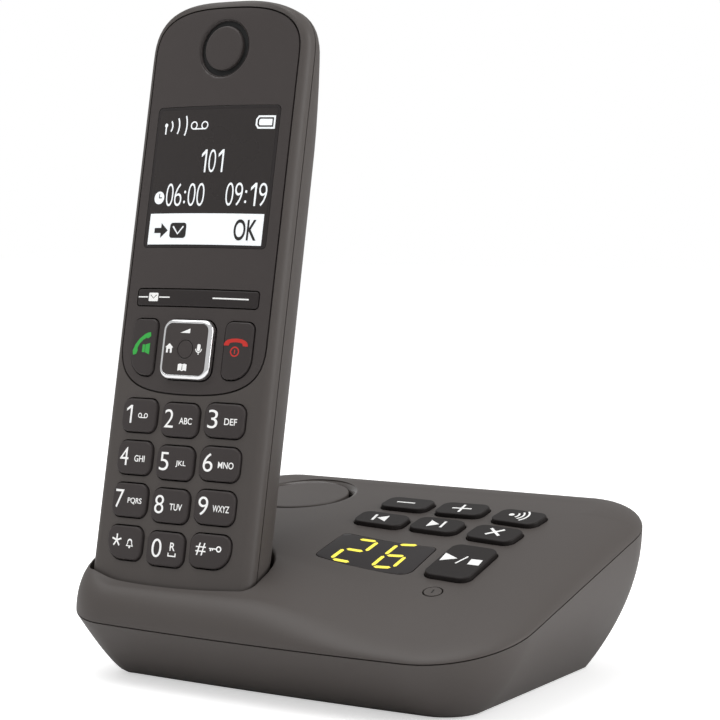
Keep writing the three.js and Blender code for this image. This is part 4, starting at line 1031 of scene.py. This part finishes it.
rear = cut(outside("rear_shell"), outside("hollow", 0, -handset.wall))
pan = cut(outside("pan"), outside("pan_inside", -door.thickness - door.gap - handset.wall))
combine(rear, "UNION", combine(pan, "INTERSECT", door_prism("pan_edge", door.gap + handset.wall)))
combine(rear, "INTERSECT", half_space("rear_half", rear_start, beyond))
cut(rear, cut(door_prism("opening", door.gap), outside("door_floor", -door.thickness - door.gap)))
cut(rear, handset_block("bay", 0, 2 * cell.radius + gap * 3 / 2,
                        (cell.floor, handset.seam_depth + handset.rear_depth_top),
                        (cell.low - gap, cell.low + cell.length + gap)))
for slot in contact_slots(charge_contact):
    cut(rear, slot)
combine(rear, "UNION", seam_lip())
dress_shell(rear, "handset_rear_shell", "handset")

battery_cover = combine(outside("battery_cover"), "INTERSECT", door_prism("door_edge", 0))
cut(battery_cover, outside("door_under", -door.thickness))
dress_shell(battery_cover, "battery_door", "battery_door")
print("rear shell faces", len(rear.data.polygons))

# %% [markdown]
# ## Keys, window and navigation key of the handset
# The digit keys are soft pillows: a straight side, a wide round edge and a top that swells by a
# fraction of a millimetre. The navigation key is a bright frame round a dark pad with a flush button
# in its middle.

# %% Pillow keys
def pillow(name, key, edge, swell=0.12):
    """A key with a rounded edge and a top that swells towards its middle."""
    rings = [at_height(key.outline_at(inset), height)
             for inset, height in [(0, -keypad.sink)] + fillet(0, key.rise, edge, 6)]
    rings += [at_height(key.outline_at(edge) * share, key.rise + swell * (1 - share ** 2))
              for share in np.linspace(1, 0, 9)[1:-1]]
    return smooth_faces(lofted(name, rings, key.frame), key_angle)


for keys, edge, slot, material in ((digit_face_keys, 0.55, "handset_key", handset_key_plastic),
                                   (call_face_keys, 0.4, "face_plate", call_key_plastic)):
    for key in keys:
        dress(pillow("cap_" + key.node, key, edge), key.node, slot, material, key.node)
print("pillow keys", len(digit_face_keys + call_face_keys))

# %% Crowned pieces of the face: window and display keys
def on_crown(x, z, depth):
    """Points in the handset's frame, at a depth behind the crowned face."""
    return np.stack([x, crown_at(x) + depth, z], 1)


def face_skin(name, size, thickness, bevel, lift=0.0):
    """A rectangular piece that follows the face's crown, with a bevelled front edge."""
    outline_at = rectangle_at(size.width, size.height, size.corner, 6)

    def level(points, depth):
        return on_crown(points[:, 0], points[:, 1] + size.centre_z, depth)

    rings = [level(outline_at(0), thickness), level(outline_at(0), bevel - lift),
             level(outline_at(bevel * 0.3), bevel * 0.3 - lift), level(outline_at(bevel), -lift)]
    rings += [level(outline_at(bevel) * share, -lift) for share in np.linspace(1, 0, 12)[1:-1]]
    return smooth_faces(solid(name, on_handset(loft(rings))))


dress(face_skin("display_pane", screen, screen.thickness, 0.12),
      "handset", "display_window", display_plastic, "display_window")
dress(face_skin("display_rocker", rocker, rocker.sink, 0.3, rocker.rise),
      "display_key_rocker", "face_plate", rocker_plastic, "display_key_rocker")
print("window and rocker made")

# %% Navigation key
nav_frame = face_frame(0, nav.centre_z)
nav_top = nav.rise + nav.proud
pad_size = nav.width - 2 * nav.ring - 0.06
frame_profile = [(0, -nav.sink)] + fillet(0, nav.rise, nav.ring - 0.1, 9) + [
    (nav.ring - 0.03, nav.rise - 0.05), (nav.ring, nav.rise - 0.3), (nav.ring, -nav.sink)]
pad_profile = [(0, -nav.sink), (0, nav.rise - 0.2)] + fillet(0, nav_top, 0.12, 3)
well_profile = [(0, -nav.sink - 1), (0, nav_top - 0.2), (-0.3, nav_top + 0.01), (-0.4, nav_top + 1)]
button_profile = [(0, gap - nav.sink)] + fillet(0, nav_top - 0.1, 0.2)
nav_at = rectangle_at(nav.width, nav.width, nav.corner, 6)
ring = capped("nav_frame_ring", nav_at, frame_profile, nav_frame, endless=True)
dress(smooth_faces(ring, key_angle), "nav_key", "chrome", chrome, "nav_ring")
pad_at = rectangle_at(pad_size, pad_size, nav.corner - nav.ring - 0.1, 6)
pad = capped("nav_pad_top", pad_at, pad_profile, nav_frame)
cut(pad, capped("nav_well", circle_at(nav.centre_radius + 0.12), well_profile, nav_frame))
dress(smooth_faces(pad, small_angle), "nav_key", "face_plate", plate_plastic, "nav_pad")
button = capped("nav_button", circle_at(nav.centre_radius), button_profile, nav_frame)
dress(smooth_faces(button, small_angle), "nav_centre_key", "face_plate", plate_plastic, "nav_centre_key")
print("navigation key made")

# %% [markdown]
# ## The earpiece
# The earpiece is a disc in the plate with a deep groove round it. Its outer flank slopes, so that it
# catches light at the lower left, and the felt in its floor is black. Both follow the face's crown.

# %% Earpiece disc
def turned_on_face(name, profile, closed=False):
    """Turns a profile of (radius, height) pairs about the earpiece's middle, bent with the crown."""
    rings = []
    for radius, height in profile:
        points = circle(radius, 80)
        rings.append(at_height(points, height - crown_at(points[:, 0])))
    return smooth_faces(lofted(name, rings, face_frame(0, ear.centre_z), closed), small_angle)


rim = [(ear.radius, -ear.thickness), (ear.radius, -0.35)]
flank = [(7.16, -0.3), (7.08, -0.36), (7.0, -0.46), (6.96, -1.1)]
dish = [(5.6, -1.1), (5.56, -0.25), (5.48, -0.06), (5.3, 0.05), (5.05, 0.08), (3.2, 0.08), (1.4, 0.08)]
felt = [(5.62, -1.09), (6.94, -1.09), (6.94, -0.9), (5.62, -0.9)]
countersink = [(6.8, -0.62), (7.22, -0.42), (7.45, -0.12), (7.85, 0.03), (8.2, 0.8)]
smooth_faces(cut(face_plate, turned_on_face("ear_countersink", countersink)), shell_angle)
dress(turned_on_face("ear_disc", rim + flank + dish), "handset", "face_plate", plate_plastic, "earpiece_disc")
dress(turned_on_face("ear_felt", felt, True), "handset", "black_plastic", black_plastic)
print("earpiece made")

# %% [markdown]
# ## Print and light
# Marks are thin solids, because a print that is geometry survives the export. A 2D curve with
# several outlines fills itself and leaves its holes open, and a text curve does the same for digits.
# Both are turned to a mesh and laid on a surface by the frame of what carries them.

# %% Shapes for marks
ink_thickness = 0.05


def curve_solid(curve):
    curve.extrude = ink_thickness / 2
    holder = added("mark", curve)
    bpy.context.view_layer.update()
    mesh = bpy.data.meshes.new_from_object(holder.evaluated_get(bpy.context.evaluated_depsgraph_get()))
    work = bmesh.new()
    work.from_mesh(mesh)
    bmesh.ops.remove_doubles(work, verts=work.verts, dist=1e-5)
    vertices = np.array([v.co[:] for v in work.verts], float).reshape(-1, 3)
    work.verts.index_update()
    faces = [tuple(v.index for v in f.verts) for f in work.faces]
    work.free()
    bpy.data.objects.remove(holder)
    return vertices, faces


def filled(*outlines):
    """A thin solid of one or more closed outlines; one inside another is a hole."""
    curve = bpy.data.curves.new("mark", "CURVE")
    curve.dimensions = "2D"
    curve.fill_mode = "BOTH"
    for points in outlines:
        spline = curve.splines.new("POLY")
        spline.points.add(len(points) - 1)
        for point, (x, y) in zip(spline.points, points):
            point.co = (x, y, 0, 1)
        spline.use_cyclic_u = True
    return curve_solid(curve)


def lettering(text, height, width, x, y, bold=0.0):
    """Text scaled to a height and a width, centred on x, y."""
    curve = bpy.data.curves.new("mark", "FONT")
    curve.body = text
    curve.size = 10
    curve.offset = bold
    vertices, faces = curve_solid(curve)
    low, high = vertices.min(0), vertices.max(0)
    scale = np.array([width, height]) / (high - low)[:2]
    middle = (low + high) / 2
    return (vertices - [*middle[:2], 0]) * [*scale, 1] + [x, y, 0], faces


def stroke(points, width):
    """The outline of a polyline with flat ends."""
    points = np.array(points, float)
    ahead = np.gradient(points, axis=0)
    ahead /= np.linalg.norm(ahead, axis=1)[:, None]
    side = np.stack([-ahead[:, 1], ahead[:, 0]], 1) * width / 2
    return np.concatenate([points + side, (points - side)[::-1]])


def arc(radius, start, end, x=0.0, y=0.0, steps=20):
    angles = np.radians(np.linspace(start, end, steps + 1))
    return np.stack([x + radius * np.cos(angles), y + radius * np.sin(angles)], 1)


def at(points, x, y):
    return np.array(points) + [x, y]


def turned(points, angle):
    across, up = math.cos(angle), math.sin(angle)
    return np.array(points) @ [[across, up], [-up, across]]


def rectangle(low_x, low_y, high_x, high_y):
    return [(low_x, low_y), (high_x, low_y), (high_x, high_y), (low_x, high_y)]


def together(*shapes):
    vertices, faces, count = [], [], 0
    for points, polygons in shapes:
        vertices.append(points)
        faces += [tuple(i + count for i in polygon) for polygon in polygons]
        count += len(points)
    return np.concatenate(vertices), faces


print("mark helpers ready")

# %% Laying marks down
def lay_flat(shape, matrix, height):
    vertices, faces = shape
    return moved(vertices + [0, 0, height], matrix), faces


def lay_on_face(shape, height=0.0):
    """Lays a mark given in face coordinates on the crowned face."""
    (x, z, up), faces = shape[0].T, shape[1]
    return on_handset((on_crown(x, z, -up - height), faces))


def lay_on_deck(shape, matrix, height=0.0):
    vertices, faces = shape
    return on_top(deck_points(matrix, vertices[:, :2]), vertices[:, 2] + height), faces


def grid_sheet(low_x, low_z, high_x, high_z, steps=16):
    """A thin sheet on the face, split across so that it can bend with the crown."""
    x = np.linspace(low_x, high_x, steps + 1)
    points = np.concatenate([at_height(x, low_z), at_height(x[::-1], high_z)])
    count = len(points)
    vertices = np.concatenate([at_height(points, side * ink_thickness / 2) for side in (-1, 1)])
    faces = [(i, (i + 1) % count, (i + 1) % count + count, i + count) for i in range(count)]
    for i in range(steps):
        a, b, c, d = i, i + 1, count - 2 - i, count - 1 - i
        faces += [(d, c, b, a), (a + count, b + count, c + count, d + count)]
    return vertices, faces


def mark(name, shape, body, material, slot=None):
    return dress(solid(name, shape), body, slot, material)


print("mark placing ready")

# %% [markdown]
# ## The counter's digits
# Seven bars make a digit. A bar is a long hexagon, and a table of letters says which bars are lit:
# the two digits here are plain numbers. They shine a little, as light-emitting bars do.

# %% Seven-segment digits
segment = Sizes(width=5.2, height=13.5, upright=0.92, level=1.2, gap=0.52, lean=0.03)
segment_ends = {"a": (-1, 1, 1, 1), "b": (1, 1, 1, 0), "c": (1, 0, 1, -1), "d": (-1, -1, 1, -1),
                "e": (-1, 0, -1, -1), "f": (-1, 1, -1, 0), "g": (-1, 0, 1, 0)}
lit = {"2": "abged", "6": "afgedc"}


def dense(points, step=0.8):
    """Splits the long sides of a closed outline, so that the shape can bend with its surface."""
    split = []
    for start, end in zip(points, np.roll(points, -1, 0)):
        count = max(1, round(float(np.linalg.norm(end - start)) / step))
        split.append(start + (end - start) * np.arange(count)[:, None] / count)
    return np.concatenate(split)


def bar(start, end):
    along = unit(end - start)
    thickness = segment.level if abs(along[0]) > abs(along[1]) else segment.upright
    side = np.array([-along[1], along[0]]) * thickness / 2
    start, end = start + along * segment.gap, end - along * segment.gap
    tip = along * thickness / 2
    return dense([start, start + tip + side, end - tip + side, end, end - tip - side, start + tip - side])


def digit(text, x, y, slope):
    """slope lifts the level bars to the right, and the segments' lean moves the upright ones aside."""
    def corner(across, up):
        half_width, half_height = segment.width / 2, segment.height / 2
        return np.array([x + across * half_width + up * segment.lean * half_height,
                         y + up * half_height + across * slope * half_width])

    ends = [segment_ends[letter] for letter in lit[text]]
    return [bar(corner(*four[:2]), corner(*four[2:])) for four in ends]


counter_bars = digit("2", -5.7, -0.4, 0.17) + digit("6", 4.7, 1.0, 0.22)
mark("counter_digits", lay_on_deck(filled(*counter_bars), window_frame, 0.02), "base", led_yellow)
print("bars lit", len(counter_bars))

# %% [markdown]
# ## Symbols on the deck keys
# The symbols are the ones that every recorder has: skip back, skip on, play and stop, delete, louder,
# softer and a call for the handset.

# %% Deck symbols
def plus(width, thickness, turn=0.0):
    x, y = width / 2, thickness / 2
    return np.concatenate([turned([(y, y), (x, y), (x, -y)], turn - quarter * math.pi / 2)
                           for quarter in range(4)])


deck_symbols = {
    "volume_down_key": [rectangle(-3.1, -0.25, 2.0, 0.4)],
    "volume_up_key": [plus(5.3, 0.65) + [-0.1, -0.05]],
    "previous_key": [rectangle(-2.35, -2.1, -1.7, 2.0), [(-1.25, -0.1), (1.35, 2.05), (1.35, -2.15)]],
    "next_key": [rectangle(1.2, -1.85, 1.85, 2.15), [(-2.35, -2.0), (-2.35, 2.05), (0.45, 0.05)]],
    "delete_key": [plus(5.3, 0.75, math.pi / 4) + [-0.05, 0.45]],
    "paging_key": [circle(0.75, 24) + [-2.3, 0.5]] + [
        stroke(arc(radius, -42, 42, -2.2, 0.5), 0.5) for radius in (1.9, 3.2, 4.5)],
    "play_stop_key": [[(-5.25, -1.1), (-5.25, 3.1), (-1.3, 0.95)], stroke([(-0.8, -1.6), (0.9, 2.55)], 0.45),
                      rectangle(2.2, -1.3, 5.15, 1.55)]}
slant = np.array([[1, 0.04], [-0.1, 1]])
for name, outlines in deck_symbols.items():
    symbol = filled(*[np.array(points) @ slant for points in outlines])
    mark("symbol_" + name, lay_flat(symbol, deck_key_frame(name), base_key.rise), name, white_print)
print("deck symbols", len(deck_symbols))

# %% The dark bar of the on-off button
standby = lay_flat(filled(stroke([(0.1, -0.8), (-0.1, 0.8)], 0.32)), deck_key_frame("on_off_key"),
                   base_key.on_off_rise + 0.02)
mark("symbol_on_off", standby, "on_off_key", base_key_plastic, "base_key")
print("on-off bar made")

# %% [markdown]
# ## Marks on the handset
# Each digit key carries a tall narrow digit and a small group of letters, as every telephone does.
# The star and hash keys add a bell and a key, the one key two tape reels, and the nought key a
# letter above a space mark.

# %% Key marks
digit_size = Sizes(height=4.45, width=2.7, x=-3.0, y=0.2)
letter_size = Sizes(height=1.6, x=2.0, y=-0.2)
letters = {"2": ("ABC", 3.8), "3": ("DEF", 3.5), "4": ("GHI", 3.3), "5": ("JKL", 3.0), "6": ("MNO", 4.3),
           "7": ("PQRS", 4.5), "8": ("TUV", 3.7), "9": ("WXYZ", 4.6)}
numeral_one = [(0.9, -2.22), (0.9, 2.22), (0.35, 2.22), (-0.9, 1.35), (-0.9, 0.72), (0.36, 1.52),
               (0.36, -2.22)]
space = [(-1.2, 0.45), (-1.2, -0.45), (1.2, -0.45), (1.2, 0.45), (0.9, 0.45), (0.9, -0.15), (-0.9, -0.15),
         (-0.9, 0.45)]
skirt = [(-0.75, 0.0), (-1.15, -0.75), (1.15, -0.75), (0.75, 0.0)]
blade = [(-1.7, 0.15), (-1.7, -0.15), (-1.45, -0.15), (-1.45, -0.6), (-1.1, -0.6), (-1.1, -0.15),
         (-0.9, -0.15), (-0.9, -0.45), (-0.6, -0.45), (-0.6, -0.15), (0.2, -0.15), (0.2, 0.15)]
thin, bold = -0.06, 0.09


def hoop(radius, width, x, y, sides):
    return [circle(radius, sides) + [x, y], circle(radius - width, sides) + [x, y]]


def tape_reels(x, y, radius, spread, width):
    reels = hoop(radius, width, x - spread, y, 28) + hoop(radius, width, x + spread, y, 28)
    return [filled(*reels), filled(rectangle(x - spread, y - radius, x + spread, y - radius + width))]


def bell(x, y):
    body = np.concatenate([arc(0.75, 0, 180, 0, 0.35), skirt])
    inside = body * [0.68, 0.66]
    return [filled(at(body, x, y), at(inside, x, y - 0.03)), filled(at(circle(0.24, 14), x, y - 0.98))]


def small_key(x, y):
    return [filled(*hoop(0.75, 0.33, x + 0.95, y, 26)), filled(at(blade, x, y))]


def star(x, y, radius, width):
    spokes = [turned([(0, 0), (radius, 0)], math.pi / 2 + k * 2 * math.pi / 5) for k in range(5)]
    return [filled(stroke(at(spoke, x, y), width)) for spoke in spokes]


def key_marks(label):
    if label == "1":
        one = filled(at(numeral_one, digit_size.x, digit_size.y))
        return [one, *tape_reels(1.5, -0.05, 0.62, 0.95, 0.22)]
    if label == "0":
        return [lettering("0", digit_size.height, 2.9, -2.3, 0.1, thin),
                lettering("R", 2.0, 1.5, 2.4, 0.75, bold), filled(at(space, 2.4, -1.2))]
    if label == "*":
        return [*star(-2.3, 0.45, 1.55, 0.42), *bell(2.0, -0.05)]
    if label == "#":
        return [lettering("#", 3.0, 2.8, -2.3, 0.4), *small_key(1.7, 0.75)]
    text, width = letters[label]
    return [lettering(label, digit_size.height, digit_size.width, digit_size.x, digit_size.y, thin),
            lettering(text, letter_size.height, width, letter_size.x, letter_size.y, bold)]


def lay_on_key(name, key, shapes, material, lift):
    mark(name, lay_flat(together(*shapes), key.frame, key.rise + lift), key.node, material)


for key in digit_face_keys:
    lay_on_key("legend_" + key.node, key, key_marks(key.label), white_print, 0.11)
print("legends", len(digit_face_keys))

# %% Talk, end and navigation symbols
raised_receiver = [
    (-2.95, -2.05), (-3.2, -1.0), (-2.5, 0.55), (-1.3, 2.0), (0.3, 3.15), (1.2, 3.55), (2.15, 3.7),
    (2.35, 2.75), (1.5, 2.15), (0.85, 2.25), (-0.1, 1.7), (-1.1, 0.8), (-1.7, -0.3), (-1.55, -0.9),
    (-1.95, -1.8)]
speaker_horn = [(0.9, 0.6), (2.3, 1.0), (2.3, -1.8), (0.9, -1.3)]
talk_shapes = [filled(raised_receiver), filled(rectangle(-0.1, -1.3, 0.75, 0.6)), filled(speaker_horn)]
half_receiver = [(0, 3.0), (1.3, 2.9), (2.4, 2.6), (3.0, 2.15), (3.3, 1.6), (3.3, 1.2), (2.0, 1.2),
                 (1.7, 1.85), (0.9, 2.05), (0, 2.1)]
hung_receiver = half_receiver + [(-x, y) for x, y in half_receiver[-2:0:-1]]
end_shapes = [filled(at(hung_receiver, -0.45, 0)), filled(*hoop(1.25, 0.33, -0.6, -0.2, 36)),
              filled(rectangle(-0.73, -0.7, -0.47, 0.3))]
talk, end = call_face_keys
lay_on_key("symbol_talk", talk, talk_shapes, green_print, 0.1)
lay_on_key("symbol_end", end, end_shapes, red_print, 0.1)

house = [(-1.2, 0.15), (0, 1.2), (1.2, 0.15), (0.85, 0.15), (0.85, -1.15), (0.3, -1.15), (0.3, -0.2),
         (-0.3, -0.2), (-0.3, -1.15), (-0.85, -1.15), (-0.85, 0.15)]
wedge = [(-1.5, -0.5), (1.4, -0.5), (1.4, 0.6)]
book = [(-1.3, 0.75), (-0.6, 0.95), (0, 0.75), (0.6, 0.95), (1.3, 0.75), (1.3, -0.85), (0.6, -0.65),
        (0, -0.9), (-0.6, -0.65), (-1.3, -0.85)]
spine = rectangle(-0.1, -0.65, 0.1, 0.55)
microphone = [rounded(0.95, 1.75, 0.46, 6) + [0, 0.35], stroke(arc(0.85, 180, 360, 0, 0.05), 0.26),
              rectangle(-0.12, -1.4, 0.12, -0.75)]
nav_marks = [filled(at(wedge, -0.35, 4.45)), filled(at(house, -4.7, 0.1)),
             filled(at(book, -0.2, -4.5), at(spine, -0.2, -4.5)),
             *[filled(at(points, 4.15, 0.15)) for points in microphone]]
mark("nav_symbols", lay_flat(together(*nav_marks), nav_frame, nav_top), "nav_key", white_print)
print("call and navigation symbols made")

# %% Marks of the display keys
envelope = [rounded(3.0, 2.1, 0.25, 4), stroke([(-1.0, 0.55), (0, -0.3), (1.0, 0.55)], 0.22)]
rocker_marks = together(
    grid_sheet(-17.9, 77.4, -14.75, 77.7), grid_sheet(-11.1, 77.4, -7.75, 77.7),
    filled(*[at(points, -12.93, 77.55) for points in envelope]), grid_sheet(5.3, 77.42, 15.5, 77.76))
mark("display_key_marks", lay_on_face(rocker_marks, rocker.rise), "display_key_rocker", white_print)
print("display key marks made")

# %% [markdown]
# ## What the display shows
# The display has a field that is lighter than its window's rim, a row of state symbols, a number, two
# times and a bright bar with an arrow, an envelope and a short confirming word.

# %% Display
lcd = Sizes(half_width=17.6, bar_half=17.1, bottom=90.75, top=124.6, bar_top=98.5)
field = grid_sheet(-lcd.half_width, lcd.bottom, lcd.half_width, lcd.top)
mark("display_field", lay_on_face(field), "handset", lcd_dark, "display_window")
lit_bar = grid_sheet(-lcd.bar_half, lcd.bottom, lcd.bar_half, lcd.bar_top)
mark("display_bar", lay_on_face(lit_bar, 0.03), "handset", lcd_white)


def cell_outline(tip, left, shoulder, right, low, high):
    """The outline of a battery that lies on its side, with a blunt tip on the left."""
    middle = (low + high) / 2
    return [(left, middle - tip), (shoulder, low), (right, low), (right, high), (shoulder, high),
            (left, middle + tip)]


def battery_symbol():
    return filled(cell_outline(0.75, 11.9, 12.6, 17.3, 119.5, 122.8),
                  cell_outline(0.6, 12.35, 12.8, 16.85, 119.95, 122.35),
                  cell_outline(0.45, 12.85, 13.1, 16.45, 120.35, 121.95))


def signal_symbol(x, z):
    shapes = [filled(at(circle(0.5, 18), x, z)), filled(rectangle(x - 0.2, z - 2.3, x + 0.2, z - 0.3))]
    for radius, half_angle in ((2.0, 40), (4.2, 28), (6.6, 22)):
        shapes.append(filled(stroke(arc(radius, -half_angle, half_angle, x + 0.1, z - 0.3), 0.4)))
    return shapes


def clock_symbol(x, z):
    hands = [(-0.15, 1.05), (-0.15, -0.15), (0.9, -0.15), (0.9, 0.15), (0.15, 0.15), (0.15, 1.05)]
    return filled(at(circle(1.6, 36), x, z), at(hands, x, z))


def number(text, x, z, width, height=5.7, colon=1.5):
    """Digits at an even pitch. The one has a foot-less shape of its own."""
    pitch = (width - colon * text.count(":")) / (len(text) - text.count(":"))
    shapes, place = [], x - width / 2
    for character in text:
        step = colon if character == ":" else pitch
        middle = place + step / 2
        if character == "1":
            shapes.append(filled(at(np.array(numeral_one) * [pitch / 2.9, height / 4.44], middle, z)))
        elif character == ":":
            dot = rounded(0.55, 0.65, 0.2, 4)
            shapes += [filled(at(dot, middle, z + side * 1.25 - 0.6)) for side in (-1, 1)]
        else:
            shapes.append(lettering(character, height, pitch * 0.84, middle, z, -0.14))
        place += step
    return shapes


display_marks = [
    battery_symbol(), *signal_symbol(-15.3, 120.9), *tape_reels(-4.65, 120.6, 1.05, 1.65, 0.32),
    clock_symbol(-14.9, 102.5), *number("101", 0.5, 111.6, 7.6), *number("06:00", -6.75, 103.2, 12.4),
    *number("09:19", 11.4, 103.3, 12.0)]
mark("display_symbols", lay_on_face(together(*display_marks), 0.03), "handset", lcd_white)
arrow = [(-15.2, 93.6), (-13.1, 93.6), (-13.1, 92.4), (-10.9, 94.25), (-13.1, 96.1), (-13.1, 94.9),
         (-15.2, 94.9)]
note = [rounded(5.1, 3.8, 0.8, 6) + [-7.65, 94.25],
        stroke([(-9.3, 95.3), (-7.65, 93.4), (-6.0, 95.3)], 0.5)]
bar_marks = together(filled(arrow), filled(*note), lettering("OK", 5.2, 6.4, 12.3, 94.5, 0.12))
mark("display_bar_marks", lay_on_face(bar_marks, 0.09), "handset", lcd_black)
print("display made")

# %% [markdown]
# ## What is inside and behind
# Boards, cells, contacts, sockets and mats keep their exact shapes from the frame. They only get their
# real finishes, so an open battery door or a lifted handset shows the right materials.

# %% Finishes for the pieces that keep their shape
finishes = (
    (steel, "base_screw_1 base_screw_2 base_screw_3 earpiece_receiver"),
    (board_green, "base_circuit_board handset_circuit_board"),
    (rubber, "base_key_mat handset_key_mat nav_pivot"),
    (black_plastic, "led_digit_module speaker_driver line_socket power_socket display_module"),
    (gold, "cradle_contact_left cradle_contact_right charge_contact_left charge_contact_right"),
    (battery_sleeve, "battery_left battery_right"))
for material, names in finishes:
    for node in names.split():
        paint(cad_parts[node], material)
print("finishes", len(finishes))
